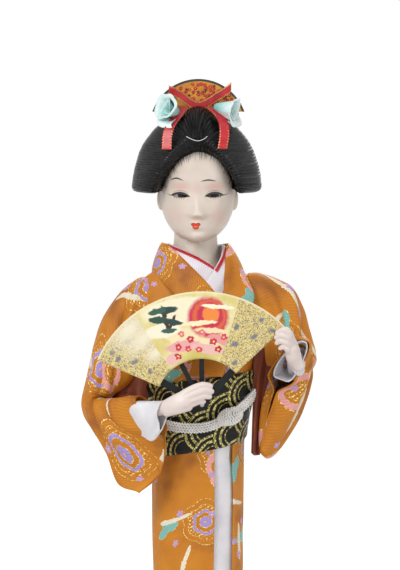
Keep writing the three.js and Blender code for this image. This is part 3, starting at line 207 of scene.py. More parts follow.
def surface(name, points, material, thickness=0, flip=False, offset=(0, 0), caps=False):
    """A mesh from a grid of points in millimetres, with a UV map in metres, and a wall if thickness is given.
    The wall goes against the normal. caps closes both ends of a tube. Gives back the object."""
    if flip:
        points = points[:, ::-1]
    rows, columns = points.shape[:2]
    wrapped = np.allclose(points[:, 0], points[:, -1], atol=1e-6)
    across, along = measure(points, offset)
    index = np.arange(rows * columns).reshape(rows, columns)
    quads = np.stack([index[:-1, :-1], index[:-1, 1:], index[1:, 1:], index[1:, :-1]], axis=-1).reshape(-1, 4)
    flat = points.reshape(-1, 3)
    uv = np.stack([across.ravel(), along.ravel()], axis=1)
    faces = quads.tolist()
    if thickness:
        normal = normals_of(points)
        if wrapped:
            normal[:, 0] = normal[:, -1] = (normal[:, 0] + normal[:, -1]) / 2
        inner = (points - thickness * normal).reshape(-1, 3)
        count = len(flat)
        flat = np.concatenate([flat, inner])
        uv = np.concatenate([uv, uv])
        faces += (quads[:, ::-1] + count).tolist()
        rims = [index[0], index[-1, ::-1]] + ([] if wrapped else [index[::-1, 0], index[:, -1]])
        for rim in rims:
            faces += np.stack([rim[1:], rim[:-1], rim[:-1] + count, rim[1:] + count], axis=-1).tolist()
    elif caps:
        for row, turn in ((0, True), (rows - 1, False)):
            ring = index[row, :-1]
            flat = np.concatenate([flat, points[row, :-1].mean(axis=0)[None]])
            uv = np.concatenate([uv, uv[[ring[0]]]])
            middle = len(flat) - 1
            for a, b in zip(ring, np.roll(ring, -1)):
                faces.append([b, a, middle] if turn else [a, b, middle])
    mesh = bpy.data.meshes.new(name)
    mesh.from_pydata((flat * MM).tolist(), [], faces)
    layer = mesh.uv_layers.new(name="cloth")
    corners = np.empty(len(mesh.loops), dtype=np.int32)
    mesh.loops.foreach_get("vertex_index", corners)
    layer.data.foreach_set("uv", uv[corners].astype(np.float32).ravel())
    if wrapped:
        rework(mesh, lambda work: bmesh.ops.remove_doubles(work, verts=work.verts, dist=WELD_DISTANCE))
    return link(name, mesh, material)


def rework(mesh, operation):
    """Runs an operation on a mesh opened for editing."""
    work = bmesh.new()
    work.from_mesh(mesh)
    operation(work)
    work.to_mesh(mesh)
    work.free()


def table(rows, x, column):
    """The value at x of a smooth curve through rows of numbers, as in the frame's source."""
    rows = np.array(rows, float)
    places, values = rows[:, 0], rows[:, column]
    slopes = np.empty(len(rows))
    slopes[1:-1] = (values[2:] - values[:-2]) / (places[2:] - places[:-2])
    slopes[0] = (values[1] - values[0]) / (places[1] - places[0])
    slopes[-1] = (values[-1] - values[-2]) / (places[-1] - places[-2])
    x = np.clip(x, places[0], places[-1])
    i = np.clip(np.searchsorted(places, x, side="right") - 1, 0, len(rows) - 2)
    run = places[i + 1] - places[i]
    t = (x - places[i]) / run
    return (
        (2 * t**3 - 3 * t**2 + 1) * values[i]
        + (t**3 - 2 * t**2 + t) * run * slopes[i]
        + (3 * t**2 - 2 * t**3) * values[i + 1]
        + (t**3 - t**2) * run * slopes[i + 1]
    )


def path(points, t):
    """Places at t, from 0 to 1, on a smooth curve through points, by its length."""
    points = np.array(points, float)
    lengths = np.concatenate([[0], np.cumsum(np.linalg.norm(np.diff(points, axis=0), axis=1))])
    rows = np.concatenate([lengths[:, None] / lengths[-1], points], axis=1)
    return np.stack([table(rows, t, k) for k in range(1, rows.shape[1])], axis=-1)


def bell(x, width):
    """One at nought, falling off to both sides over a width."""
    return np.exp(-((x / width) ** 2))


def smooth(x, low, high):
    """A soft step from nought at low to one at high."""
    t = np.clip((x - low) / (high - low), 0, 1)
    return t * t * (3 - 2 * t)


def ripple(x, y, seed, scale, octaves=2):
    """Gentle unevenness between -1 and 1, from a few sines with seeded directions. scale is the wave's length."""
    dice = np.random.default_rng(seed)
    total = 0
    for octave in range(octaves):
        for _ in range(3):
            way, phase = dice.uniform(0, 2 * np.pi, 2)
            reach = scale * dice.uniform(0.7, 1.4) / 2**octave
            total = total + np.sin(2 * np.pi * (x * np.cos(way) + y * np.sin(way)) / reach + phase) / 2**octave
    return total / 4


pieces = {}


def keep(piece, body, slot, *replaced):
    """Rides a piece on its body and hides the frame's nodes it stands for. slot is not used."""
    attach(piece, body)
    if replaced:
        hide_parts(*replaced)
    pieces[piece.name] = len(piece.data.polygons)


# %% [markdown]
# ## Printed crepe for the kimono
# The kimono is an orange crepe printed with flower rounds, fan arcs, leaves and feathers, outlined in gold
# thread. The motifs are traditional ones, laid out afresh. Each kind is drawn in the cells of its own loose
# lattice: the place inside a cell is turned to polar form, a wavy radius gives the petals, and a colour ramp over
# the radius gives the bands. The ramp's alpha says where gold thread runs.
# What that gives the eye: a matt, faintly ribbed ground, with lines that glitter in short dashes.

# %% Crepe with motifs
ORANGE, ORANGE_DEEP, GOLD, LAVENDER = "C27604", "8C4A03", "D9A838", "A58FCB"
PINK, TEAL, CREAM = "E9A0A0", "7CB9AE", "E8DEC8"
# cell and radius in mm, petals, depth of their waves, stretch, share of cells, bands (place, hex, gold)
MOTIFS = [
    dict(cell=38, radius=12.5, petals=6, depth=0.12, stretch=1, share=0.55, bands=[
        (0, GOLD, 1), (0.05, LAVENDER, 0), (0.25, GOLD, 1), (0.275, ORANGE, 0), (0.42, GOLD, 1), (0.445, LAVENDER, 0),
        (0.56, GOLD, 1), (0.585, ORANGE, 0.35), (0.76, GOLD, 1), (0.785, ORANGE, 0), (0.97, GOLD, 1)]),
    dict(cell=35, radius=10.5, petals=2, depth=0.46, stretch=1, share=0.45, bands=[
        (0, ORANGE, 0.42), (0.4, GOLD, 1), (0.43, ORANGE, 0.3), (0.6, GOLD, 1), (0.63, PINK, 0), (0.93, GOLD, 1)]),
    dict(cell=21, radius=3.6, petals=3, depth=0.5, stretch=0.45, share=0.32, bands=[
        (0, GOLD, 1), (0.08, TEAL, 0.1), (0.93, TEAL, 0.7)]),
    dict(cell=27, radius=11, petals=9, depth=0.35, stretch=7.5, share=0.7, bands=[
        (0, CREAM, 0), (0.85, CREAM, 0.5)]),
    dict(cell=12, radius=1.9, petals=5, depth=0.42, stretch=1, share=0.3, bands=[
        (0, GOLD, 1), (0.22, "B79BD0", 0), (0.9, PINK, 0)]),
]


def threads(tree, place, spacing, angle, out=1):
    """Height of parallel threads at a spacing in metres, running at an angle on the cloth."""
    turned = add(tree, "VectorRotate", {"Vector": place, "Angle": angle}, rotation_type="Z_AXIS")
    wave = 2 * math.pi / 20 / spacing
    return add(tree, "TexWave", {"Vector": turned, "Scale": wave, "Distortion": 0.6, "Detail": 1}, out=out)


def cloth_place(tree, turn=0.0):
    """Place on the piece's own UV map, in metres, turned on the cloth."""
    uv = add(tree, "UVMap", uv_map="cloth")
    return add(tree, "Mapping", {"Vector": uv, "Rotation": (0, 0, turn)})


def wire(tree, shader, **sockets):
    """Links values to the shader's sockets, with _ for a space."""
    for socket, value in sockets.items():
        tree.links.new(value, shader.inputs[socket.replace("_", " ")])


def relief(tree, shader, height, strength, distance):
    """Raises the surface by a height, over a distance in metres."""
    wire(tree, shader, Normal=add(tree, "Bump", {"Strength": strength, "Distance": distance, "Height": height}))


def crepe(name):
    """Printed silk crepe, woven with a slanting rib, gold thread laid over it."""
    made, tree, shader = finish(name)
    place = cloth_place(tree)
    wander = add(tree, "TexNoise", {"Vector": place, "Scale": 140, "Detail": 1}, out=1)
    bend = add(tree, "VectorMath", (wander, (0.5, 0.5, 0.5)), operation="SUBTRACT")
    drawn = add(tree, "VectorMath", (bend, (0.0016, 0.0016, 0), place), operation="MULTIPLY_ADD")
    cloud = add(tree, "TexNoise", {"Vector": place, "Scale": 45, "Detail": 3})
    colour = add(tree, "ValToRGB", (cloud,), stops=[(0.28, ORANGE_DEEP), (0.46, ORANGE), (0.75, "D38606")])
    gold = None
    for k, motif in enumerate(MOTIFS):
        moved = add(tree, "Mapping", {"Vector": drawn, "Location": (0.013 * k, 0.007 * k, 0), "Rotation": (0, 0, k)})
        cell = add(tree, "TexVoronoi", {"Vector": moved, "Scale": 1 / (motif["cell"] * MM), "Randomness": 0.55},
                   out=None, voronoi_dimensions="2D")
        away = add(tree, "VectorMath", (moved, cell.outputs["Position"]), operation="SUBTRACT")
        chance = add(tree, "SeparateColor", (cell.outputs["Color"],), out=None)
        spin = add(tree, "Math", (chance.outputs[0], 6.3), operation="MULTIPLY")
        turned = add(tree, "VectorRotate", {"Vector": away, "Angle": spin}, rotation_type="Z_AXIS")
        flat = add(tree, "VectorMath", (turned, (1, motif["stretch"], 0)), operation="MULTIPLY")
        reach = add(tree, "VectorMath", (flat,), operation="LENGTH", out=1)
        sides = add(tree, "SeparateXYZ", (turned,), out=None)
        angle = add(tree, "Math", (sides.outputs[1], sides.outputs[0]), operation="ARCTAN2")
        lobes = add(tree, "Math", (angle, motif["petals"] / 2), operation="MULTIPLY")
        lobes = add(tree, "Math", (lobes,), operation="COSINE")
        lobes = add(tree, "Math", (lobes,), operation="ABSOLUTE")
        radius = motif["radius"] * MM
        edge = add(tree, "Math", (lobes, radius * motif["depth"], radius * (1 - motif["depth"])),
                   operation="MULTIPLY_ADD")
        share = add(tree, "Math", (reach, edge), operation="DIVIDE")
        bands = add(tree, "ValToRGB", (share,), out=None, stops=motif["bands"])
        bands.color_ramp.interpolation = "CONSTANT"
        inside = add(tree, "Math", (share, 1), operation="LESS_THAN")
        chosen = add(tree, "Math", (chance.outputs[1], motif["share"]), operation="LESS_THAN")
        cover = add(tree, "Math", (inside, chosen), operation="MULTIPLY")
        colour = add(tree, "Mix", {0: cover, 6: colour, 7: bands.outputs[0]}, out=2, data_type="RGBA")
        gold = add(tree, "Mix", {0: cover, 2: gold, 3: bands.outputs[1]}, out=0)
    dashes = threads(tree, place, 0.0016, 1.1)
    grain = add(tree, "TexNoise", {"Vector": place, "Scale": 1100, "Detail": 1})
    broken = add(tree, "Math", (dashes, 0.5, grain), operation="MULTIPLY_ADD")
    laid = add(tree, "Math", (gold, broken), operation="ADD")
    laid = add(tree, "MapRange", {"Value": laid, "From Min": 1.3, "From Max": 1.38})
    rib = threads(tree, place, 0.0010, 0.9)
    # the crepe's colour is darker in the troughs between the ribs: painted shade
    painted_hollow_shade = add(tree, "Math", (rib, 0.16, 0.9), operation="MULTIPLY_ADD")
    ribbed = add(tree, "Mix", {0: 1.0, 6: colour, 7: painted_hollow_shade}, out=2, data_type="RGBA", blend_type="MULTIPLY")
    glint = add(tree, "ValToRGB", (grain,), stops=[(0.36, "8A5A14"), (0.5, GOLD), (0.66, "FFE89A")])
    final = add(tree, "Mix", {0: laid, 6: ribbed, 7: glint}, out=2, data_type="RGBA")
    metal = add(tree, "Math", (laid, 0.35), operation="MULTIPLY")
    rough = add(tree, "Math", (laid, -0.24, 0.62), operation="MULTIPLY_ADD")
    height = add(tree, "Math", (laid, 1.4, rib), operation="MULTIPLY_ADD")
    wire(tree, shader, Base_Color=final, Metallic=metal, Roughness=rough)
    relief(tree, shader, height, 0.45, 0.00016)
    return made


kimono_crepe = crepe("printed_silk_crepe")
print("motif kinds on the crepe:", len(MOTIFS))

# %% [markdown]
# ## Black brocade for the sash
# Brocade is woven with a raised, pale gold weft over black satin. Its pattern is the old "blue sea waves": rows of
# circles that cover each other like scales, with rings inside, laid on their side here. Two rows are tested at each
# place, the front one first, which is enough to find the circle that is on top. The weft shows as short slanting
# floats. A ring's line takes the part of each spacing that lies between the two edge values.

# %% Brocade
SCALE_RADIUS, RING_SPACING, ROW_PITCH = 11.2 * MM, 2.9 * MM, 7.8 * MM
RING_EDGE, MIDDLE_SHARE = (0.24, 0.29), 0.4


def brocade(name, turn):
    """Black satin with rings of pale gold weft floats."""
    made, tree, shader = finish(name, Specular_IOR_Level=0.25)
    place = cloth_place(tree, turn)
    axes = add(tree, "SeparateXYZ", (place,), out=None)
    row = add(tree, "Math", (axes.outputs[1], ROW_PITCH), operation="DIVIDE")
    row = add(tree, "Math", (row,), operation="FLOOR")
    top = None
    for back in (0, 1):
        this = add(tree, "Math", (row, back), operation="SUBTRACT")
        half = add(tree, "Math", (this, SCALE_RADIUS, axes.outputs[0]), operation="MULTIPLY_ADD")
        across = add(tree, "Math", (half, 2 * SCALE_RADIUS, 0.0), operation="WRAP")
        across = add(tree, "Math", (across, SCALE_RADIUS), operation="SUBTRACT")
        tall = add(tree, "Math", (this, -ROW_PITCH, axes.outputs[1]), operation="MULTIPLY_ADD")
        both = add(tree, "CombineXYZ", (across, tall, 0.0))
        reach = add(tree, "VectorMath", (both,), operation="LENGTH", out=1)
        if back == 0:
            top = reach
        else:
            inside = add(tree, "Math", (reach, SCALE_RADIUS), operation="LESS_THAN")
            top = add(tree, "Mix", {0: inside, 2: top, 3: reach}, out=0)
    rings = add(tree, "Math", (top, RING_SPACING), operation="DIVIDE")
    rings = add(tree, "Math", (rings, 0.5), operation="PINGPONG")
    line = add(tree, "MapRange", {"Value": rings, "From Min": RING_EDGE[0], "From Max": RING_EDGE[1]})
    solid_middle = add(tree, "Math", (top, MIDDLE_SHARE * SCALE_RADIUS), operation="GREATER_THAN")
    line = add(tree, "Math", (line, solid_middle), operation="MULTIPLY")
    covered = add(tree, "Math", (top, SCALE_RADIUS), operation="LESS_THAN")
    line = add(tree, "Math", (line, covered), operation="MULTIPLY")
    floats = threads(tree, place, 0.0011, 0.7 - turn)
    grain = add(tree, "TexNoise", {"Vector": place, "Scale": 900, "Detail": 1})
    broken = add(tree, "Math", (floats, 0.5, grain), operation="MULTIPLY_ADD")
    shown = add(tree, "MapRange", {"Value": broken, "From Min": 0.5, "From Max": 0.62})
    gold = add(tree, "Math", (line, shown), operation="MULTIPLY")
    weft = add(tree, "ValToRGB", (grain,), stops=[(0.35, "7E7430"), (0.5, "BDAF58"), (0.66, "E8DEA0")])
    ground = add(tree, "ValToRGB", (grain,), stops=[(0.4, "050606"), (0.62, "0F1211")])
    colour = add(tree, "Mix", {0: gold, 6: ground, 7: weft}, out=2, data_type="RGBA")
    rough = add(tree, "Math", (gold, -0.12, 0.5), operation="MULTIPLY_ADD")
    metal = add(tree, "Math", (gold, 0.3), operation="MULTIPLY")
    height = add(tree, "Math", (gold, 2.0, floats), operation="MULTIPLY_ADD")
    wire(tree, shader, Base_Color=colour, Metallic=metal, Roughness=rough)
    relief(tree, shader, height, 0.5, 0.00018)
    return made


sash_brocade = brocade("black_brocade_with_gold_weft", turn=-1.25)

# %% [markdown]
# ## Plain stuffs
# Cotton, satin ribbon, lacquer, straw, card, steel and black moulded plastic differ in base colour, roughness and
# one or two kinds of unevenness, so one recipe serves them all: a cloudy colour between two hexes, and threads or
# grain as relief. The numbers come from the real stuffs: cotton's threads, drawn about 1 mm apart so that they show,
# satin with a low roughness and a sheen, and urethane lacquer under a clear coat.

# %% Stuff recipe
GRAIN_SCALE, STUFF_RELIEF = 900, 0.12 * MM


def stuff(name, dark, light, roughness, cloud=60, weave=None, crossed=False, depth=0.4, on_uv=True, **sockets):
    """A material whose colour drifts between two hexes, with threads at a spacing in metres (weave) or fine grain."""
    made, tree, shader = finish(name, Roughness=roughness, **sockets)
    place = cloth_place(tree) if on_uv else add(tree, "TexCoord", out=3)
    noise = add(tree, "TexNoise", {"Vector": place, "Scale": cloud, "Detail": 4})
    colour = add(tree, "ValToRGB", (noise,), stops=[(0.35, dark), (0.65, light)])
    if weave:
        height = threads(tree, place, weave, 0.8)
        if crossed:
            height = add(tree, "Math", (height, threads(tree, place, weave, 2.37)), operation="MAXIMUM")
        # the colour is darker between the threads: painted shade
        painted_hollow_shade = add(tree, "Math", (height, 0.14, 0.89), operation="MULTIPLY_ADD")
        colour = add(tree, "Mix", {0: 1.0, 6: colour, 7: painted_hollow_shade}, out=2, data_type="RGBA", blend_type="MULTIPLY")
    else:
        height = add(tree, "TexNoise", {"Vector": place, "Scale": GRAIN_SCALE, "Detail": 3})
    wire(tree, shader, Base_Color=colour)
    relief(tree, shader, height, depth, STUFF_RELIEF)
    return made


white_cotton = stuff("white_ribbed_cotton", "DAD6DC", "EDECEE", 0.7, weave=0.0009, Sheen_Weight=0.2)
white_silk = stuff("white_silk_collar", "DCD6DE", "E9E6EA", 0.5, weave=0.0008, depth=0.25, Sheen_Weight=0.3)
red_satin = stuff("red_satin_piping", "A81420", "C9202C", 0.42, weave=0.0007, Sheen_Weight=0.2)
braid_white = stuff("white_braided_rayon", "E9E5E0", "F8F6F3", 0.5, cloud=300, on_uv=False, depth=0.2)
lacquer = stuff("black_urethane_lacquer", "0B0A0C", "100F12", 0.22, on_uv=False, depth=0.05, Coat_Weight=0.8,
                Coat_Roughness=0.06)
felt = stuff("pressed_green_felt", "1F2C22", "31422F", 0.95, cloud=400, on_uv=False, depth=0.8, Sheen_Weight=0.3)
wood_wool = stuff("bound_wood_wool", "A98F5C", "D9C593", 0.9, cloud=500, weave=0.0014, crossed=True, on_uv=False,
                  depth=0.9)
grey_card = stuff("rolled_grey_card", "A4917A", "BFAE94", 0.9, cloud=120, on_uv=False)
dowel_wood = stuff("turned_softwood", "B88A52", "D0A468", 0.65, cloud=90, weave=0.0016, on_uv=False, depth=0.2)
# a grey core under the white stitches, so the gaps between them read dark: painted shade
braid_core_painted_shade = stuff("painted_shade_braid_core", "A29D97", "B9B4AE", 0.7, cloud=300, on_uv=False, depth=0.2)
# dark rust silk for the drapes under the sleeves: painted shade where deep shade falls
painted_shade_silk = stuff("painted_shade_inner_silk", "571E08", "8A3A0E", 0.6, cloud=70, weave=0.0009, Sheen_Weight=0.1)
drawn_steel = stuff("drawn_steel_wire", "9A9C9F", "C8CACC", 0.32, cloud=300, on_uv=False, depth=0.1, Metallic=1.0)
black_plastic = stuff("black_moulded_sticks", "0C0E10", "171B1D", 0.35, cloud=200, on_uv=False, depth=0.15,
                      Specular_IOR_Level=0.25)
print("materials so far:", len(bpy.data.materials))

# %% [markdown]
# ## The dressed figure
# The kimono hides a straight, padded shape: real dressers pad the waist until the figure is a smooth column that
# widens towards the hem. So one table of heights, half-widths and half-depths rules the skirt, the bodice and the
# sash, and each layer only adds its own thickness and folds. It is the same rule that the frame's solids follow.

# %% The figure's table
HEM_Z, SASH_LOW_Z, SASH_HIGH_Z, TILT = 19.0, 215.3, 252.0, 4.0
# height, half-width, half-depth, middle
FIGURE = [
    (19, 37, 33, -0.5), (32, 32.5, 29.5, -0.8), (55, 27.5, 25.5, -1.2), (95, 24, 22.5, -1.6), (140, 22.6, 21, -2),
    (193, 22.9, 20.6, -2.1), (215.3, 22.4, 20.4, -1.8), (232, 24.4, 22.2, -1.6), (252, 28.4, 25.2, -1.3),
    (264, 30.6, 26, -1.2), (278, 29, 23.6, -1.4), (291, 24, 19, -2), (301, 18.5, 15.6, -3.2),
]
# the bodice spreads to the shoulders where the sleeves start
BODICE = [
    (246, 27.6, 24.6, -1.4), (252, 28.6, 25.4, -1.3), (264, 31, 26.2, -1.2), (276, 33, 24.4, -1.0),
    (286, 34.2, 20.4, -0.8), (293, 34, 17.2, -0.8), (297.5, 30.5, 15.4, -1.2), (301, 25.5, 14.4, -1.8),
    (304, 20.5, 13.6, -2.6), (306.5, 17.8, 13.6, -3.2),
]


def around(z, turn, out, rows=None, square=2.25):
    """Points on the figure at heights and turns, turn 0 in front and growing to the doll's left."""
    rows = rows or FIGURE
    c, s = np.cos(turn), np.sin(turn)
    x = table(rows, z, 3) + (table(rows, z, 1) + out) * np.sign(s) * np.abs(s) ** (2 / square)
    y = -(table(rows, z, 2) + out) * np.sign(c) * np.abs(c) ** (2 / square)
    return np.stack([x, y, z + 0 * x], axis=-1)


# %% [markdown]
# ## Skirt
# A kimono skirt is one wrapped sheet. Here it opens at the doll's left, as in the photograph, and shows the white
# under-skirt. Towards the hem the cloth spreads into soft flutes, and the hem itself is a padded roll that makes
# it hang well. The flutes are a cosine whose depth fades out upwards.

# %% Skirt and under-skirt
TOE_LIFT = 11


def hem(turn):
    return HEM_Z + TOE_LIFT * bell(np.arctan2(np.sin(turn), np.cos(turn)), 0.62)


def skirt_face(u, v, first, last, top, out):
    wide = (1 - v) ** 2
    turn = first + (last - first) * u
    z = hem(turn) + (top(turn) - hem(turn)) * v**1.15
    flute = 1.5 * wide * (np.cos(7 * turn) - 1) + 0.35 * ripple(turn * 20, z * 0.5, 3, 16) * (0.5 + v)
    edge = 0.5 * (bell(u, 0.008) + bell(1 - u, 0.008))
    roll = 0.9 * bell(v - 0.012, 0.012)
    return around(z, turn, flute + roll + edge + out)


def sash_foot(turn):
    return SASH_LOW_Z + 3.4 + TILT * np.sin(turn)


def skirt_points(u, v):
    wide = (1 - v) ** 2
    first, last = math.radians(48) + math.radians(7) * wide, 2 * math.pi + math.radians(18) - math.radians(7) * wide
    return skirt_face(u, v, first, last, sash_foot, 0.15)


skirt = surface("kimono_skirt_cloth", grid(skirt_points, 244, 190), kimono_crepe, thickness=0.9, offset=(20, 0))
under = surface(
    "under_skirt_cloth",
    grid(lambda u, v: skirt_face(u, v, 0, 2 * math.pi, sash_foot, -1.5 - 2.2 * (1 - v) ** 2) + [0, 0, 1.2], 120, 80),
    white_cotton, thickness=0.8)
print("skirt faces:", len(skirt.data.polygons))

# %% [markdown]
# ## Bodice
# The bodice follows the chest up to the shoulders and closes round the neck. Its folds are shallow, because the
# cloth is pulled tight under the sash: they radiate from the armpits and fade towards the middle.

# %% Bodice


def bodice_points(u, v):
    turn = 2 * np.pi * u + np.pi
    low = 246.0 + TILT * np.sin(turn)
    z = low + (306.3 - low) * v
    point = around(z, turn, 0.3, BODICE, 2.25)
    side = np.abs(np.sin(turn)) ** 3
    pull = 0.7 * side * np.sin(z * 0.42 + 3.0 * turn) * bell(z - 272, 18)
    crease = 0.45 * ripple(turn * 26, z, 5, 13) * smooth(z, 246, 262)
    away = point - np.stack([0 * u - 1.5, 0 * u, z], axis=-1)
    away /= np.maximum(np.linalg.norm(away, axis=-1, keepdims=True), 1e-9)
    return point + away * (pull + crease)[..., None]


bodice = surface("bodice_cloth", grid(bodice_points, 260, 100), kimono_crepe, thickness=0.8, offset=(140, 90))

# %% [markdown]
# ## Sleeves
# A long kimono sleeve is a flat bag sewn to the shoulder: the arm passes along its upper edge, and the rest hangs
# under the forearm. A row of the table is one section of the bag: its place along the arm, its inner and outer
# edge, half its width, and how much it narrows towards the hanging edge. At the wrist the bag is sewn shut below
# the hand's opening. The folds are sculpted as ridges that run from the elbow and along the hang of the cloth.

# %% Sleeve rule
SLEEVES = {
    "right": [
        (0, -24, -1, 262, -14, 1, 299.5, 13.5, 0), (0.16, -30, -2, 254, -33.6, -1, 298, 13, 0),
        (0.32, -37, -5, 248, -47, -3, 282.6, 12, 0.1), (0.48, -44, -9, 243, -54.6, -6, 262, 10.4, 0.2),
        (0.6, -48.2, -14, 240.6, -57.6, -9.4, 237, 9.2, 0.25), (0.72, -46, -21, 241.4, -50.6, -16, 224.6, 8.8, 0.3),
        (0.82, -42, -27, 242.4, -45, -21.6, 215, 8.2, 0.5), (0.92, -36.6, -32.4, 243.8, -41.4, -25.4, 200, 7.8, 0.56),
        (1, -31.5, -36.5, 244.4, -33, -28, 195, 7.8, 0.6)],
    "left": [
        (0, 22, -1, 264, 9, 1, 300.5, 13.5, 0), (0.16, 28.4, -3, 256, 31, 0, 301.2, 13, 0),
        (0.32, 34, -6, 252, 46.5, 2, 291.6, 12, 0.1), (0.48, 40, -10, 256, 51.5, 4, 270, 10, 0.15),
        (0.6, 45, -14, 264, 48.5, 2, 247, 9, 0.2), (0.72, 48, -18, 269.5, 41, -3, 228, 8.6, 0.25),
        (0.86, 50, -22, 271.8, 34, -10, 213, 7.8, 0.2), (1, 50.4, -27.6, 271.4, 30, -17, 207, 6.8, 0.16)],
}
SWING = {"right": (14, 1, 0), "left": (-5, 1, 3)}
MOUTH = {"right": 0.34, "left": 0.36}


def sleeve_place(side, v, s, spread, wide):
    """Places on a sleeve at v along the arm and s from its inner to its outer edge, spread over its width."""
    rows = SLEEVES[side]

    def edge(w, k):
        return np.stack([table(rows, w, k), table(rows, w, k + 1), table(rows, w, k + 2)], axis=-1)

    out = edge(v, 4) - edge(v, 1)
    ahead, behind = np.minimum(1, v + 0.04), np.maximum(0, v - 0.04)
    across = np.cross(edge(ahead, 1) + edge(ahead, 4) - edge(behind, 1) - edge(behind, 4), out)
    across /= np.linalg.norm(across, axis=-1, keepdims=True)
    inside = np.clip(s, 0, 1)
    swing = np.where(inside < 0.5, np.sin(np.pi * inside), 1 - (2 * inside - 1) ** 3) * smooth(v, 0.8, 1)
    swing = swing[..., None] * np.array(SWING[side])
    return edge(v, 1) + out * s[..., None] + swing + across * (spread * wide)[..., None]


def sleeve_points(side, first, last, less, mouth, folds):
    """The rule of a sleeve's cloth between two places along the arm. less narrows it, as for its lining."""
    rows = SLEEVES[side]

    def at(u, v):
        v = first + (last - first) * v
        a = 2 * np.pi * u
        s = (1 - np.cos(a)) / 2
        past, v = np.maximum(0, v - 1), np.minimum(1, v)
        s = 0.012 * less + s * ((1 if less == 0 else mouth) - 0.024 * less)
        s = s * (1 - (0.03 if side == "right" else 0.1) * smooth(v, 0.84, 1) ** 2 * smooth(s, 0.6, 1))
        wide = table(rows, v, 7) * (1 - table(rows, v, 8) * np.maximum(0, s) ** 1.4)
        shut = smooth(v, 0.86, 1) * smooth(s, mouth - 0.03, mouth + 0.1) if less == 0 else 0
        wide = np.maximum(wide * (1 - 0.9 * shut), 0.5)
        bulge = np.sign(np.sin(a)) * np.abs(np.sin(a)) ** 0.6
        if less:
            outer = np.sin(np.arccos(np.clip(1 - 2 * s, -1, 1))) ** 0.6
            wide = np.maximum(wide * outer - less, 0.4)
            bulge = np.sign(np.sin(a)) * np.abs(np.sin(a)) ** 0.3
        point = sleeve_place(side, v, s, bulge, wide)
        onward = sleeve_place(side, np.ones(1), np.zeros(1), np.zeros(1), np.zeros(1))
        onward = onward - sleeve_place(side, np.full(1, 0.9), np.zeros(1), np.zeros(1), np.zeros(1))
        onward = onward[0] / np.linalg.norm(onward[0])
        reach = 1 - 0.8 * np.clip(s / max(mouth, 0.01), 0, 1) if side == "right" else 1 + 0 * s
        point = point + (90 * past * reach)[..., None] * onward
        if folds:
            normal = normals_of(point)
            push = sum(high * bell(v - at_v + lean * (s - 0.5), wide_v) * bell(s - at_s, wide_s)
                       for high, at_v, at_s, lean, wide_v, wide_s in folds)
            push = push + 0.4 * ripple(v * 90, s * 40 + a * 3, 7, 18)
            point = point - normal * (push * np.abs(np.sin(a)) ** 0.35)[..., None]
        return point

    return at


# height in mm, place along, place across, lean, width along, width across
FOLDS = {
    "right": [
        (1.2, 0.30, 0.75, 0.35, 0.025, 0.5), (-1.3, 0.36, 0.7, 0.35, 0.03, 0.5), (1.5, 0.44, 0.4, 0.2, 0.03, 0.5),
        (-1.6, 0.50, 0.4, 0.15, 0.03, 0.5), (1.6, 0.57, 0.35, 0.1, 0.03, 0.4), (-1.4, 0.63, 0.35, 0.0, 0.03, 0.4),
        (1.4, 0.70, 0.5, -0.25, 0.03, 0.5), (-1.4, 0.76, 0.55, -0.3, 0.03, 0.5), (1.6, 0.85, 0.7, -0.4, 0.035, 0.6),
        (-1.3, 0.92, 0.75, -0.35, 0.03, 0.5)],
    "left": [
        (1.2, 0.28, 0.7, 0.3, 0.025, 0.5), (-1.2, 0.34, 0.7, 0.3, 0.03, 0.5), (1.7, 0.42, 0.6, 0.3, 0.03, 0.5),
        (-1.6, 0.48, 0.5, 0.25, 0.03, 0.5), (1.6, 0.56, 0.5, 0.15, 0.035, 0.5), (-1.7, 0.63, 0.6, 0.1, 0.035, 0.5),
        (1.8, 0.71, 0.65, -0.15, 0.04, 0.5), (-1.6, 0.79, 0.7, -0.2, 0.035, 0.5), (1.5, 0.88, 0.75, -0.2, 0.04, 0.5),
        (-1.1, 0.95, 0.8, -0.15, 0.03, 0.4)],
}

# %% Sleeves and their linings
sleeves, linings = {}, {}
for side, shift in (("right", (260, 40)), ("left", (420, 170))):
    rule = sleeve_points(side, 0.1, 1, 0, MOUTH[side], FOLDS[side])
    sleeves[side] = surface(f"kimono_sleeve_{side}", grid(rule, 190, 150), kimono_crepe, thickness=0.7, offset=shift)
linings["left"] = surface(
    "under_sleeve_cuff_left", grid(sleeve_points("left", 0.6, 1.015, 1.0, 0.35, None), 90, 60), white_cotton,
    thickness=0.6)

# The cuff on the doll's right is pressed flat: upper and lower edge at the sleeve and at the open end.
CUFF_TOP = [(-36, -31.5, 241.4), (-31.4, -37, 242.2), (-25, -42, 242.8), (-18.4, -46, 243.4)]
CUFF_FOOT = [(-33, -28, 226), (-28.6, -33.6, 225.2), (-24.4, -38.4, 223.8), (-20.2, -44.4, 229.6)]


def cuff_points(u, v):
    a = 2 * np.pi * u
    down = (1 - np.cos(a)) / 2
    top, foot = path(CUFF_TOP, v), path(CUFF_FOOT, v)
    along_cuff = np.array(CUFF_TOP[-1]) - np.array(CUFF_TOP[0])
    out = np.cross(along_cuff, [0, 0, 1.0])
    out /= np.linalg.norm(out)
    thick = 4.3 * np.abs(np.sin(a)) ** 0.6 * (1 - 0.72 * smooth(down, 0.25, 1)) * np.sign(np.sin(a))
    crease = 0.3 * np.sin(down * 9 + v * 4) * np.abs(np.sin(a))
    return top + (foot - top) * down[..., None] + out * (thick + crease)[..., None]


linings["right"] = surface("under_sleeve_cuff_right", grid(cuff_points, 120, 50), white_cotton, thickness=0.6,
                           flip=True)
print("sleeve faces:", len(sleeves["right"].data.polygons))

# %% [markdown]
# ## Threads that follow a path
# Hair, braid and stitches are all threads that follow lines. The lines are worked out first, as rows of points;
# a small node tree then spins each one into a round thread, with a little seeded fuzz so that no two lie alike.

# %% Thread tree


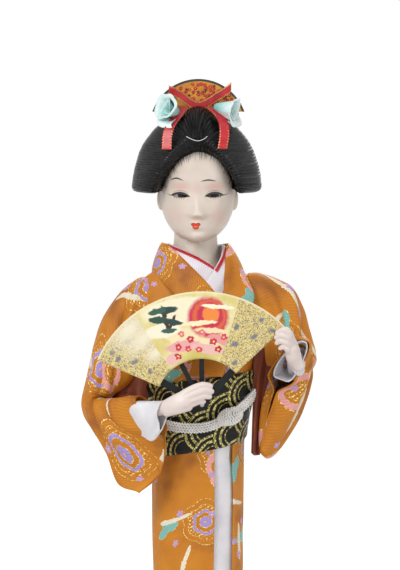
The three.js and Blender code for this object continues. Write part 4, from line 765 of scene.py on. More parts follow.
def thread_tree():
    """Geometry nodes that turn lines into round threads. The thickness may vary with the attribute "swell"."""
    tree = bpy.data.node_groups.new("spun_thread", "GeometryNodeTree")
    for name, kind in (("Geometry", "Geometry"), ("Radius", "Float"), ("Sides", "Int"), ("Fuzz", "Float"),
                       ("Fuzz Scale", "Float"), ("Seed", "Float"), ("Material", "Material")):
        tree.interface.new_socket(name, in_out="INPUT", socket_type="NodeSocket" + kind)
    tree.interface.new_socket("Geometry", in_out="OUTPUT", socket_type="NodeSocketGeometry")
    source, result = tree.nodes.new("NodeGroupInput"), tree.nodes.new("NodeGroupOutput")
    place = add(tree, "GeometryNodeInputPosition")
    own = add(tree, "GeometryNodeInputNamedAttribute", {"Name": "thread"}, data_type="FLOAT")
    depth = add(tree, "Math", (own, source.outputs["Seed"]), operation="ADD")
    noise = add(tree, "TexNoise", {"Vector": place, "W": depth, "Scale": source.outputs["Fuzz Scale"], "Detail": 1.0},
                out=1, noise_dimensions="4D")
    centred = add(tree, "VectorMath", (noise, (0.5, 0.5, 0.5)), operation="SUBTRACT")
    shift = add(tree, "VectorMath", {0: centred, "Scale": source.outputs["Fuzz"]}, operation="SCALE")
    moved = add(tree, "GeometryNodeSetPosition", {"Geometry": source.outputs["Geometry"], "Offset": shift})
    curves = add(tree, "GeometryNodeMeshToCurve", (moved,))
    swell = add(tree, "GeometryNodeInputNamedAttribute", {"Name": "swell"}, data_type="FLOAT")
    radius = add(tree, "Math", (swell, source.outputs["Radius"]), operation="MULTIPLY")
    round_section = add(tree, "GeometryNodeCurvePrimitiveCircle",
                        {"Resolution": source.outputs["Sides"], "Radius": 1.0})
    spun = add(tree, "GeometryNodeCurveToMesh",
               {"Curve": curves, "Profile Curve": round_section, "Scale": radius, "Fill Caps": True})
    whole = add(tree, "GeometryNodeRealizeInstances", (spun,))
    shaded = add(tree, "GeometryNodeSetMaterial", {"Geometry": whole, "Material": source.outputs["Material"]})
    tree.links.new(shaded, result.inputs[0])
    return tree


def grow(holder, tree, material, **inputs):
    """Runs a node tree on an object and keeps the result as a plain mesh. inputs: {socket name: value}."""
    modifier = holder.modifiers.new("grow", "NODES")
    modifier.node_group = tree
    for item in tree.interface.items_tree:
        if item.in_out == "INPUT" and item.name in inputs:
            modifier[item.identifier] = inputs[item.name]
        elif item.in_out == "INPUT" and item.name == "Material":
            modifier[item.identifier] = material
    graph = bpy.context.evaluated_depsgraph_get()
    grown = bpy.data.meshes.new_from_object(holder.evaluated_get(graph))
    holder.modifiers.clear()
    old, holder.data = holder.data, grown
    bpy.data.meshes.remove(old)
    grown.name = holder.name
    coat(grown, material)
    grown.shade_smooth()
    return holder


spun_thread = thread_tree()


def threads_along(name, lines, material, radius, sides=5, fuzz=0.0, fuzz_scale=400.0, seed=1.0, taper=0.0):
    """Round threads along lines, a list of arrays of points in millimetres. taper thins both ends."""
    points = np.concatenate(lines)
    starts = np.cumsum([0] + [len(line) for line in lines])
    edges = [(i, i + 1) for a, b in zip(starts[:-1], starts[1:]) for i in range(a, b - 1)]
    mesh = bpy.data.meshes.new(name)
    mesh.from_pydata((points * MM).tolist(), edges, [])
    own, swell = mesh.attributes.new("thread", "FLOAT", "POINT"), mesh.attributes.new("swell", "FLOAT", "POINT")
    own.data.foreach_set("value", np.repeat(np.arange(len(lines)) * 7.31 % 50, np.diff(starts)).astype(np.float32))
    ends = np.concatenate([1 - taper * np.abs(np.linspace(-1, 1, len(line))) ** 3 for line in lines])
    swell.data.foreach_set("value", ends.astype(np.float32))
    holder = link(name, mesh, smooth=False)
    return grow(holder, spun_thread, material, Radius=radius * MM, Sides=sides, Fuzz=2 * fuzz * MM, Seed=seed,
                **{"Fuzz Scale": fuzz_scale})

# %% [markdown]
# ## Head
# The head is cast in a mould and sprayed with pale satin paint, so its skin is one smooth face that runs from the
# brow over the chin into the neck. Here it starts as the frame's table of widths and depths, sampled finely, with
# the nose, lips, chin and eye hollows added as soft hills. The parts are merged by remeshing, which rounds the
# corner under the jaw as sanding would, and the eye slits are cut last, so that they stay crisp.

# %% Head rule
HEAD_X, HEAD_Y = -2.2, 1.0
NECK_X, NECK_Y = -3.2, 2.0
# height, half-width, front depth, back depth
HEAD = [
    (319.5, 3, 18.2, 0.5), (320.5, 7, 19.6, 2.4), (322.2, 10.6, 20.6, 5), (325, 13.4, 21, 9), (328.5, 15.6, 21.2, 13),
    (333.5, 17.5, 21.4, 18), (340, 18.5, 21.6, 21), (349, 18.7, 22, 23), (358, 18.6, 21.8, 23), (366, 17, 19.8, 21.4),
    (373, 12.6, 15, 16.4), (377, 6.8, 8.4, 9), (378.5, 1.5, 2, 2),
]
EYES = {"right": (-10.6, 342.1), "left": (6.0, 342.2)}


def face_relief(x, z):
    """How far the features stand out at x from the middle of the face and height z."""
    t = np.clip((z - 333.2) / 10.5, 0, 1)
    bridge = np.where(z > 333.4, 3.5 * (1 - t) ** 1.3, 3.5 * bell(z - 333.4, 1.9))
    nose = bridge * bell(x, 2.2 + 1.9 * bell(z - 333.4, 3.5)) + 0.7 * bell(np.hypot(np.abs(x) - 2.1, z - 332.6), 1.3)
    upper = 1.15 * bell(z - 328.7, 1.05) * bell(np.abs(x + 0.8) - 1.1, 1.5)
    lower = 1.25 * bell(z - 326.7, 1.1) * bell(x + 0.8, 2.0)
    mouth = 1.3 * bell(np.hypot(x * 0.7, (z - 327.8) * 0.8), 4.4) - 0.55 * bell(z - 327.85, 0.35) * bell(x, 2.0)
    chin = 1.5 * bell(np.hypot(x * 0.8, z - 321.6), 3.8) - 0.6 * bell(z - 324.6, 1.2) * bell(x, 4)
    hollow = -1.5 * bell(np.hypot((np.abs(x) - 8.4) * 0.62, z - 343.4), 3.6)
    lids = 0.75 * bell(np.hypot((np.abs(x) - 8.4) * 0.42, z - 342.2), 2.6)
    brow = 0.5 * bell(z - 349.5, 3) * bell(np.abs(x) - 8, 5)
    cheek = 0.5 * bell(np.hypot(np.abs(x) - 9.5, z - 334), 5)
    return nose + upper + lower + mouth + chin + hollow + lids + brow + cheek


def head_points(turn, z):
    """The head's surface at turns from the face's middle and heights."""
    s, c = np.sin(turn), np.cos(turn)
    x = table(HEAD, z, 1) * np.sign(s) * np.abs(s) ** 0.94
    deep = np.where(c > 0, table(HEAD, z, 2), table(HEAD, z, 3))
    y = -deep * np.sign(c) * np.abs(c) ** 0.94
    front = smooth(c, 0.1, 0.45)
    return np.stack([HEAD_X + x, HEAD_Y + y - face_relief(x, z) * front, z + 0 * x], axis=-1)


def face_depth(x, z, out=0.0):
    """y of the face's surface at places x and z, for what is painted on it."""
    wide, deep = table(HEAD, z, 1), table(HEAD, z, 2)
    s = np.clip(np.abs(x - HEAD_X) / wide, 0, 0.999) ** (1 / 0.94)
    c = np.sqrt(1 - s * s)
    return HEAD_Y - deep * c**0.94 - face_relief(x - HEAD_X, z) * smooth(c, 0.1, 0.45) - out


# %% Head mesh


def revolve(name, profile, x, y, sides, material=None):
    """A turned solid from (radius, z) pairs that start and end on the axis."""
    turn = np.linspace(0, 2 * np.pi, sides + 1)
    inner = np.array(profile[1:-1], float)
    points = np.stack([
        x + inner[:, :1] * np.sin(turn), y - inner[:, :1] * np.cos(turn), inner[:, 1:] + 0 * turn], axis=-1)
    return surface(name, points, material, caps=True)


def ellipsoid(name, centre, halves, sides, rings, material=None):
    low = np.linspace(-np.pi / 2, np.pi / 2, rings + 1)[1:-1, None]
    turn = np.linspace(0, 2 * np.pi, sides + 1)
    points = np.stack([np.cos(low) * np.sin(turn), -np.cos(low) * np.cos(turn), np.sin(low) + 0 * turn], axis=-1)
    return surface(name, points * np.array(halves) + np.array(centre), material, caps=True)


def join(objects, name):
    """Makes one mesh of several objects, with the first one's name and materials."""
    with bpy.context.temp_override(active_object=objects[0], selected_editable_objects=objects):
        bpy.ops.object.join()
    objects[0].name = objects[0].data.name = name
    return objects[0]


def settle(piece, **modifiers):
    """Applies modifiers in their order. Each is TYPE={setting: value}."""
    for kind, settings in modifiers.items():
        modifier = piece.modifiers.new(kind.lower(), kind)
        for setting, value in settings.items():
            setattr(modifier, setting, value)
    graph = bpy.context.evaluated_depsgraph_get()
    finished = bpy.data.meshes.new_from_object(piece.evaluated_get(graph))
    piece.modifiers.clear()
    materials = list(piece.data.materials)
    old, piece.data = piece.data, finished
    bpy.data.meshes.remove(old)
    coat(finished, *materials)
    finished.shade_smooth()
    return piece


turns = np.concatenate([np.linspace(-1.15, 1.15, 180), np.linspace(1.15, 2 * np.pi - 1.15, 70)[1:]])
heights = np.concatenate([np.linspace(319.6, 352, 120), np.linspace(352, 378.4, 50)[1:]])
skull = surface("head_skin", head_points(*np.meshgrid(turns, heights)), None, caps=True)
neck = revolve("neck", [(0, 297.2), (15, 297.2), (15.2, 302), (13.8, 307), (12.1, 312), (11, 317), (10.6, 323),
                        (10.8, 330), (11, 338), (0, 338)], NECK_X, NECK_Y, 90)
ears = [ellipsoid(f"ear_{k}", (HEAD_X + k * 18.2, HEAD_Y + 1.6, 339.4), (2.1, 3.4, 5.6), 40, 24) for k in (-1, 1)]
head = join([skull, neck, *ears], "head_skin")
head = settle(head, REMESH=dict(mode="VOXEL", voxel_size=0.42 * MM), SMOOTH=dict(factor=0.5, iterations=6))


def slit(side, grow=0.0):
    """The almond outline of an eye, as places x and z: the inner corner lies a little lower."""
    x, z = EYES[side]
    inward = 1 if side == "right" else -1
    t = np.linspace(0, 1, 33)
    along_eye = np.concatenate([t, t[::-1][1:-1]])
    upper = np.concatenate([np.ones(33), np.zeros(31)])
    run = (along_eye - 0.5) * (9.2 + 2 * grow)
    arch = np.sin(np.pi * along_eye) ** 0.8
    rise = np.where(upper == 1, (1.3 + grow) * arch, -(0.7 + grow) * arch) - 0.45 * (along_eye - 0.5)
    return np.stack([x + inward * run, z + rise], axis=1)


def prism(name, outline, y0, y1):
    """A solid between two depths from an outline of places x and z."""
    count = len(outline)
    points = [(x * MM, y * MM, z * MM) for y in (y0, y1) for x, z in outline]
    faces = [list(range(count))[::-1], list(range(count, 2 * count))]
    faces += [[i, (i + 1) % count, count + (i + 1) % count, count + i] for i in range(count)]
    mesh = bpy.data.meshes.new(name)
    mesh.from_pydata(points, [], faces)
    made = link(name, mesh, smooth=False)
    outward(mesh)
    return made


def outward(mesh):
    """Turns all faces outwards."""
    rework(mesh, lambda work: bmesh.ops.recalc_face_normals(work, faces=work.faces))


EYE_RADIUS, EYE_Y = 5.0, -11.4
for side in EYES:
    cutter = prism("slit", slit(side), -45, EYE_Y)
    head = settle(head, BOOLEAN=dict(object=cutter, operation="DIFFERENCE", solver="EXACT"))
    bpy.data.objects.remove(cutter)
    x, z = EYES[side]
    room = ellipsoid("room", (x, EYE_Y, z), [EYE_RADIUS + 0.2] * 3, 32, 20)
    head = settle(head, BOOLEAN=dict(object=room, operation="DIFFERENCE", solver="EXACT"))
    bpy.data.objects.remove(room)
print("head faces:", len(head.data.polygons))

# %% [markdown]
# ## Face paint
# The base is a soft-vinyl or bisque head sprayed with a satin, almost white flesh colour. Light enters it a little,
# which the shader's subsurface gives. Rouge is airbrushed: a spot list gives each place, size, colour and strength,
# and the colour fades from the middle of the spot. One spot, under the nose tip, is painted shade and not rouge.
# The lips are two small spots and a lower one with hard edges.
# What that gives the eye: matt porcelain with warm shadows and one small bright mouth.

# %% Skin material
# place x and z, half-sizes, hex, strength, softness from 0, hard, to 1
ROUGE_AND_SHADE = [
    (-10.8, 346.6, 7.5, 4.2, "DDA29C", 0.5, 1), (6.2, 346.6, 7.5, 4.2, "DDA29C", 0.5, 1),
    (-2.3, 346.5, 4.0, 6.0, "D9ABA2", 0.35, 1), (-12.5, 332.5, 9, 7, "DDAAA0", 0.28, 1),
    # the spot at height 331.4 under the nose tip, C79A8C, is painted shade
    (8.6, 332.5, 9, 7, "DDAAA0", 0.34, 1), (-2.3, 331.4, 3.6, 1.8, "C79A8C", 0.35, 1),
    (-2.3, 319.5, 9, 4, "CDB0A0", 0.3, 1), (-4.2, 328.3, 1.45, 1.0, "9E1A0A", 1, 0.3),
    (-2.0, 328.3, 1.45, 1.0, "9E1A0A", 1, 0.3), (-3.1, 327.2, 1.9, 1.6, "A61E0A", 1, 0.3),
    (-4.1, 328.2, 1.05, 0.65, "D83A12", 1, 0.4), (-2.1, 328.2, 1.05, 0.65, "D83A12", 1, 0.4),
    (-3.1, 327.1, 1.5, 1.15, "E2501C", 1, 0.5), (-3.1, 327.8, 1.7, 0.18, "8E1808", 0.6, 0.7),
]


def painted_skin(name, base_dark, base_light, spots):
    """Satin flesh colour with the spots of a list, rouge and painted shade, airbrushed on the side that faces forward.
    """
    made, tree, shader = finish(name, Roughness=0.42, Subsurface_Weight=0.12, Subsurface_Scale=0.004)
    shader.inputs["Subsurface Radius"].default_value = (1.0, 0.45, 0.3)
    place = add(tree, "TexCoord", out=3)
    noise = add(tree, "TexNoise", {"Vector": place, "Scale": 70, "Detail": 2})
    colour = add(tree, "ValToRGB", (noise,), stops=[(0.35, base_dark), (0.65, base_light)])
    axes = add(tree, "SeparateXYZ", (place,), out=None)
    front = add(tree, "MapRange", {"Value": axes.outputs[1], "From Min": -0.008, "From Max": -0.013})
    for x, z, wide, tall, code, strength, soft in spots:
        away = add(tree, "VectorMath", (place, (x * MM, 0, z * MM)), operation="SUBTRACT")
        away = add(tree, "VectorMath", (away, (1 / wide / MM, 0, 1 / tall / MM)), operation="MULTIPLY")
        reach = add(tree, "VectorMath", (away,), operation="LENGTH", out=1)
        spot = add(tree, "MapRange", {"Value": reach, "From Min": 1.0, "From Max": 1 - soft, "To Max": strength},
                   interpolation_type="SMOOTHSTEP")
        spot = add(tree, "Math", (spot, front), operation="MULTIPLY")
        colour = add(tree, "Mix", {0: spot, 6: colour, 7: linear(code)}, out=2, data_type="RGBA")
    wire(tree, shader, Base_Color=colour)
    grain = add(tree, "TexNoise", {"Vector": place, "Scale": 1500, "Detail": 2})
    relief(tree, shader, grain, 0.05, 0.0001)
    return made


face_paint = painted_skin("sprayed_satin_flesh", "D2C4B6", "DACDC0", ROUGE_AND_SHADE)
hand_paint = painted_skin("sprayed_satin_hands", "DBCCC5", "E4D7D0", [])
coat(head.data, face_paint)

# %% [markdown]
# ## Glass eyes
# Each eye is a glass bead with a dark iris under a clear dome. Rings over the distance from the gaze's axis paint
# it: pupil, brown iris with a lighter rim, and a greyish white.

# %% Eyes
GAZE = {"right": (-9.7, 342.6), "left": (6.4, 342.6)}


def eye_glass(side):
    made, tree, shader = finish(f"blown_glass_eye_{side}", Roughness=0.15, Specular_IOR_Level=0.25, Coat_Weight=0.25,
                                Coat_Roughness=0.03)
    place = add(tree, "TexCoord", out=3)
    x, z = GAZE[side]
    away = add(tree, "VectorMath", (place, (x * MM, 0, z * MM)), operation="SUBTRACT")
    away = add(tree, "VectorMath", (away, (1, 0, 1)), operation="MULTIPLY")
    reach = add(tree, "VectorMath", (away,), operation="LENGTH", out=1)
    far = add(tree, "Math", (reach, 4.5 * MM), operation="DIVIDE")
    rays = add(tree, "TexNoise", {"Vector": place, "Scale": 1800, "Detail": 2})
    uneven = add(tree, "Math", (rays, 0.06, far), operation="MULTIPLY_ADD")
    colour = add(tree, "ValToRGB", (uneven,), stops=[
        (0.0, "030202"), (0.22, "050303"), (0.27, "3E180C"), (0.42, "240D07"), (0.51, "0A0403"), (0.57, "B9B3B4"),
        (1.0, "A79FA0")])
    wire(tree, shader, Base_Color=colour)
    return made


eyes = {}
for side, (x, z) in EYES.items():
    eyes[side] = ellipsoid(f"eye_glass_{side}", (x, EYE_Y, z), [EYE_RADIUS] * 3, 48, 28, eye_glass(side))

# %% [markdown]
# ## Painted lines
# Brows, lash lines, lashes and the fine hairs along the hairline are brush strokes. A stroke is a narrow strip laid
# on the face's surface: its middle line is a short curve, and its width swells and ends in a point, as a brush does.
# The same rule makes the thick lash line and the finest hair.

# %% Brush strokes


def strokes(name, lines, material, lift=0.06):
    """Strips along lines of (x, z) points with a width each, laid on the face. lines: [(points, width, taper)]."""
    points, faces = [], []
    for places, width, taper in lines:
        t = np.linspace(0, 1, 2 if len(places) == 2 else 14)
        middle = path(places, t)
        along_line = np.gradient(middle, axis=0)
        side = np.stack([-along_line[:, 1], along_line[:, 0]], axis=1)
        side /= np.linalg.norm(side, axis=1, keepdims=True)
        swell = np.maximum(np.sin(np.pi * np.clip(t, 0.02, 0.98)) ** 0.7, 0.1) if taper == "both" else 1 - 0.93 * t
        start = len(points)
        for sign in (-1, 1):
            edge = middle + sign * side * (width / 2 * swell)[:, None]
            y = face_depth(edge[:, 0], edge[:, 1], lift)
            points += np.stack([edge[:, 0], y, edge[:, 1]], axis=1).tolist()
        n = len(t)
        faces += [[start + i, start + i + 1, start + n + i + 1, start + n + i] for i in range(n - 1)]
    mesh = bpy.data.meshes.new(name)
    mesh.from_pydata((np.array(points) * MM).tolist(), [], faces)
    return link(name, mesh, material)


brush_black = stuff("matt_black_brush_paint", "14100F", "1E1816", 0.5, cloud=300, on_uv=False, depth=0.0)
brush_brown = stuff("thin_brown_brush_paint", "4A3A36", "5C4A44", 0.6, cloud=300, on_uv=False, depth=0.0)
HAIRLINE = [(-21.2, 343.2), (-18.6, 349.8), (-15, 355.8), (-10.4, 361), (-6, 363.8), (-1.2, 364.8), (3.6, 364),
            (8.4, 361.4), (12.2, 356.2), (14.8, 350.6), (16.9, 343.2)]
dice = np.random.default_rng(11)
fine, dark = [], []
for t in np.linspace(0.06, 0.94, 120):
    x, z = path(HAIRLINE, np.array([t]))[0]
    inward = np.array([HEAD_X + 1.0 - x, 350 - z])
    inward = inward / np.linalg.norm(inward)
    inward = inward * 0.5 + np.array([0.12 * (x - HEAD_X) / 14, -0.6])
    inward = inward / np.linalg.norm(inward)
    length = dice.uniform(1.8, 4.4) * (1.25 - abs(t - 0.5))
    start = np.array([x, z]) - inward * 1.6
    bend = start + inward * (length + 1.6) * 0.5 + dice.uniform(-0.15, 0.15, 2)
    fine.append(([tuple(start), tuple(bend), tuple(start + inward * (length + 1.6))], dice.uniform(0.34, 0.62), "end"))
fine.append(([(-1.0, 366), (-1.1, 362.5), (-1.2, 359.6)], 0.4, "end"))
for side, (x, z) in EYES.items():
    inward = 1 if side == "right" else -1
    rim = slit(side, 0.15)[:33]
    dark.append(([tuple(p) for p in rim[::4]], 1.15, "both"))
    outer, tip = rim[0], rim[0] + np.array([-inward * 2.4, 0.7])
    dark.append(([tuple(rim[5]), tuple(outer), tuple(tip)], 0.6, "end"))
    lower = slit(side, 0.1)[32:][::-1]
    fine.append(([tuple(p) for p in lower[1:30:5]], 0.22, "both"))
    for k in (5, 9, 13, 17, 21):
        p = lower[k]
        lash = [tuple(p), tuple(p + np.array([-inward * 0.12, -0.55])), tuple(p + np.array([-inward * 0.4, -1.1]))]
        fine.append((lash, 0.24, "end"))
    fold = slit(side, 1.1)[4:30:4] + np.array([0, 0.25])
    fine.append(([tuple(p) for p in fold], 0.14, "both"))
BROWS = [[(-15.6, 349.9), (-12.6, 350.9), (-9.2, 349.8)], [(-0.6, 349.4), (3.0, 350.1), (7.0, 349.5)]]
brows = [(line, 0.75, "both") for line in BROWS]
lash_lines = strokes("painted_lash_lines", dark, brush_black, 0.08)
fine_hairs = strokes("painted_fine_hairs", fine, brush_black, 0.05)
brow_lines = strokes("painted_brows", brows, brush_brown, 0.05)
print("brush strokes:", len(dark) + len(fine) + len(brows))

# %% [markdown]
# ## Collars
# Three layers cross at the throat, always left over right: the white collar of the under-robe, a red piping along
# its edge, and the kimono's own collar. Each is one folded strip that starts under the other front, runs round the
# nape and comes down again. A strip is ruled by two curves, its top and its foot edge, and stands out a little
# between them, because the folded cloth is springy.

# %% Collar curves
COLLARS = {
    "white_top": [
        (16, -16.5, 296.5), (6.6, -14.9, 305.6), (-0.5, -14.4, 310.4), (-7.2, -11.9, 313.6), (-13.6, -6, 316),
        (-16, 2, 316.8), (-13.8, 12, 314.8), (-3.2, 17, 312.4), (7.4, 12, 314.8), (9.8, 2.5, 316.2), (10.2, -4, 314.4),
        (9.2, -10.8, 310.6), (6.2, -16.4, 305.4), (1.2, -18.7, 299), (-5, -20.6, 291)],
    "white_foot": [
        (10, -19, 289), (0.6, -18.2, 297.4), (-6.6, -17, 301.8), (-12.5, -13.8, 305), (-17.2, -7.4, 307.5),
        (-18.9, 2, 308.4), (-16.4, 13, 304.6), (-3.2, 17.6, 301), (10, 13, 304.6), (13.2, 2, 307.6), (14.2, -5, 305.6),
        (15.4, -12, 301.4), (14.6, -17.4, 296.6), (9.6, -20, 290.6), (4, -21.6, 284)],
    "kimono_top": [
        (23.5, -20.6, 264), (16.5, -22.6, 279.5), (6.6, -20.6, 293.4), (1.6, -19.3, 299.6), (-7, -15.8, 308.2),
        (-15.4, -7.6, 315.6), (-19.4, 1, 317.2), (-16.8, 14, 315.6), (-3.2, 20.4, 313.2), (10.4, 14, 315.6),
        (12.6, 2, 316.6), (12, -5.4, 315), (11, -19, 300), (10, -23.2, 293.2), (2.5, -27.4, 275), (-6.5, -29.2, 254)],
    "kimono_foot": [
        (12, -27.6, 254), (3, -26.4, 270), (-4, -23, 283), (-12.2, -19.4, 292), (-18.4, -13.4, 298.6),
        (-22.6, -5, 303.2), (-23.8, 3, 300), (-19, 15, 297), (-3.2, 20.4, 293.2), (13, 15, 297), (18.6, 3, 301),
        (20.4, -5.4, 302), (24.6, -16.4, 295), (24.4, -20, 288), (17, -26.4, 271), (9.5, -29.6, 254)],
}


def through(stack, t):
    """Smooth curve through the rows of stack, evenly spaced, at t from 0 to 1. t has the shape of one row's grid."""
    count = len(stack) - 1
    x = np.clip(t, 0, 1) * count
    i = np.clip(np.floor(x).astype(int), 0, count - 1)
    f = (x - i)[..., None]

    def row(k):
        k = np.clip(k, 0, count)
        return np.take_along_axis(stack, k[None, ..., None] + np.zeros((1,) * k.ndim + (3,), int)[None], axis=0)[0]

    a, b, c, d = row(i - 1), row(i), row(i + 1), row(i + 2)
    return 0.5 * (2 * b + (c - a) * f + (2 * a - 5 * b + 4 * c - d) * f**2 + (3 * b - a - 3 * c + d) * f**3)


def curve_at(points, t):
    """The same smooth curve through a plain list of points."""
    points = np.array(points, float)
    return through(points.reshape((len(points),) + (1,) * np.ndim(t) + (3,)) + np.zeros(np.shape(t) + (3,)), t)


def strip(top, foot, bulge, lift=0.0, from_v=0.0, to_v=1.0):
    """The rule of a collar: u runs along it and v from its foot to its top edge."""

    def at(u, v):
        v = from_v + (to_v - from_v) * v
        low, high = curve_at(COLLARS[foot], u), curve_at(COLLARS[top], u)
        point = low + (high - low) * v[..., None]
        away = point - np.array([NECK_X, NECK_Y, 0])
        away[..., 2] = 0
        away /= np.linalg.norm(away, axis=-1, keepdims=True)
        edge = 0.5 * (bell(v, 0.05) + bell(1 - v, 0.05))
        out = bulge * np.sin(np.pi * np.clip(v, 0, 1)) + lift - edge + 0.16 * ripple(u * 170, v * 12, 21, 11)
        return point + away * out[..., None]

    return at


# %% Collars
kimono_collar = surface(
    "kimono_collar_cloth", grid(strip("kimono_top", "kimono_foot", 1.1, 0.3), 360, 22), kimono_crepe, thickness=1.0,
    offset=(80, 300))
white_collar = surface(
    "under_collar_cloth", grid(strip("white_top", "white_foot", 0.5, 0.1), 360, 20), white_silk, thickness=0.9)


def piping_satin():
    """Red satin, folded, with a darker line along the middle of the strip."""
    made, tree, shader = finish("folded_red_satin_piping", Roughness=0.42, Sheen_Weight=0.1)
    axes = add(tree, "SeparateXYZ", (cloth_place(tree),), out=None)
    over = add(tree, "Math", (axes.outputs[1], 0.00135), operation="DIVIDE")
    grain = add(tree, "TexNoise", {"Vector": cloth_place(tree), "Scale": 1500, "Detail": 1})
    over = add(tree, "Math", (grain, 0.12, over), operation="MULTIPLY_ADD")
    colour = add(tree, "ValToRGB", (over,),
                 stops=[(0.32, "CE1F2C"), (0.42, "7A0C18"), (0.66, "7A0C18"), (0.76, "D22A34")])
    wire(tree, shader, Base_Color=colour)
    relief(tree, shader, grain, 0.2, 0.0001)
    return made


def piping_rule(u, v):
    """The piping runs along the white collar's upper edge, from the crossing round the nape to the crossing."""
    return strip("white_top", "white_foot", 1.3, 0.7, 0.89, 1.02)(0.068 + 0.792 * u, v)


piping = surface("red_piping", grid(piping_rule, 360, 8), piping_satin(), thickness=0.7)

# %% [markdown]
# ## Sash
# The sash is a stiff silk brocade, folded lengthwise and wound tightly round the padded waist, a little higher on
# the doll's left. Stiff cloth makes few folds: a slight hollow in front, where it is pulled, and a turned edge. At
# the back it is folded over a small pad into a boxed knot, with its end hanging under it.

# %% Sash
SASH_OUT = 2.5


def sash_points(u, v):
    turn = 2 * np.pi * u + np.pi
    z = SASH_LOW_Z + (SASH_HIGH_Z - SASH_LOW_Z) * v + TILT * np.sin(turn)
    turned = -0.9 * (bell(v, 0.03) + bell(1 - v, 0.03))
    pull = 0.4 * ripple(turn * 26, z * 2.2, 31, 20) + 0.5 * bell(v - 0.62 - 0.08 * np.sin(turn), 0.02) - 0.35
    layer = 0.7 * smooth(v, 0.63, 0.66)
    return around(z, turn, SASH_OUT - 0.7 + layer + turned + pull * bell(np.cos(turn) - 1, 1.6))


sash = surface("sash_cloth", grid(sash_points, 250, 80), sash_brocade, thickness=1.2, offset=(0, 0))

# y and z of the boxed knot's fold, from behind the sash's upper edge, over the pad, down the back and in again
KNOT_FOLD = [
    (23.4, 247), (24.6, 255), (29.6, 258.6), (36, 256), (40, 249), (41.2, 240), (41, 230), (39.6, 222.6), (35, 219.8),
    (29, 220.6), (26.6, 226), (26.4, 236)]
BOX_X, BOX_WIDTH = -1.6, 41.0


def box_points(u, v):
    place = path(KNOT_FOLD, v)
    x = BOX_X + (u - 0.5) * BOX_WIDTH * (1 - 0.05 * bell(v - 0.12, 0.15))
    sag = 1.3 * (2 * np.abs(u - 0.5)) ** 3
    y = place[..., 0] - sag * smooth(place[..., 0], 26, 34) + 0.5 * ripple(u * 42, v * 60, 41, 22) * smooth(v, 0.1, 0.3)
    z = place[..., 1] - 0.8 * sag * smooth(place[..., 1], 244, 256) + 0.3 * ripple(u * 42, v * 60, 42, 20)
    return np.stack([x, y, z], axis=-1)


def pad_points(u, v):
    """The pad that keeps the drum knot round, squeezed at both ends."""
    squeezed = 2 * (2 * np.abs(v - 0.5)) ** 6
    return np.stack([BOX_X + (v - 0.5) * 38.6, 33 - (5.4 - squeezed) * np.cos(2 * np.pi * u),
                     251.4 - (4.6 - squeezed) * np.sin(2 * np.pi * u)], axis=-1)


def tail_points(u, v):
    x = BOX_X + (u - 0.5) * 33 + 0 * v
    z = 238 - 29.6 * v
    y = 30.6 + 0.6 * np.sin(u * 9) * v + 2.2 * bell(v - 1, 0.5) + 0 * u
    return np.stack([x, y, z], axis=-1)


sash_box = surface("sash_box_knot", grid(box_points, 90, 150), sash_brocade, thickness=1.3, flip=True, offset=(90, 20))
sash_tail = surface("sash_tail", grid(tail_points, 60, 50), sash_brocade, thickness=2.0, flip=True, offset=(90, 140))
pad = surface("knot_pad", grid(pad_points, 40, 60), red_satin, caps=True)

# %% [markdown]
# ## Cord
# The sash is held by a flat silk braid, tied in front in a plain knot. A flat braid is a plait: eight strands cross
# from edge to edge, over and under, and the strands that lie on top show as rows of small slanted stitches. So
# each strand is worked out as a line that swings across the width, a step behind its neighbour, and rises and
# sinks through the thickness as it goes.

# %% Cord route
# turn round the figure and height of the cord's middle, a given list
CORD = [(-math.pi, 238), (-2.2, 236), (-1.6, 235), (-0.8, 230.4), (0, 228), (0.5, 233.6), (1.3, 248), (1.7, 250),
        (2.3, 243), (math.pi, 238)]
CORD_WIDTH, CORD_DEPTH, KNOT_TURN = 5.0, 2.2, 0.5


def cord_frame(turn):
    """Middle, outward way and width way of the cord at turns round the figure."""
    turn = (turn + np.pi) % (2 * np.pi) - np.pi
    z = table(CORD, turn, 1)
    behind = smooth(np.abs(turn), 2.25, 2.75)
    middle = around(z, turn, SASH_OUT + CORD_DEPTH / 2 + 0.7)
    middle[..., 1] += behind * (41.8 + CORD_DEPTH / 2 - middle[..., 1])
    ahead = around(table(CORD, turn + 0.02, 1), turn + 0.02, 0) - around(table(CORD, turn - 0.02, 1), turn - 0.02, 0)
    onward = ahead / np.linalg.norm(ahead, axis=-1, keepdims=True)
    out = np.stack([np.sin(turn), -np.cos(turn), 0 * turn], axis=-1)
    out -= (out * onward).sum(-1, keepdims=True) * onward
    out /= np.linalg.norm(out, axis=-1, keepdims=True)
    return middle, out, np.cross(onward, out)


def plait(middle, out, wide, width, depth, strands=8, pitch=9.0):
    """Lines of a flat braid's strands along a route."""
    run = np.concatenate([[0], np.cumsum(np.linalg.norm(np.diff(middle, axis=0), axis=1))])
    lines = []
    for k in range(strands):
        phase = run / pitch + k / strands
        across = 1 - 4 * np.abs(phase % 1 - 0.5)
        over = np.cos(2 * np.pi * (strands / 2 * phase + 0.25)) * 0.45 + np.where(phase % 1 < 0.5, 0.4, -0.4)
        lines.append(middle + wide * (across * width / 2 * 0.86)[:, None] + out * (over * depth / 2)[:, None])
    return lines


turn = np.linspace(KNOT_TURN + 0.1, KNOT_TURN - 0.1 + 2 * np.pi, 620)
middle, out, wide = cord_frame(turn)
cord_length = np.linalg.norm(np.diff(middle, axis=0), axis=1).sum()


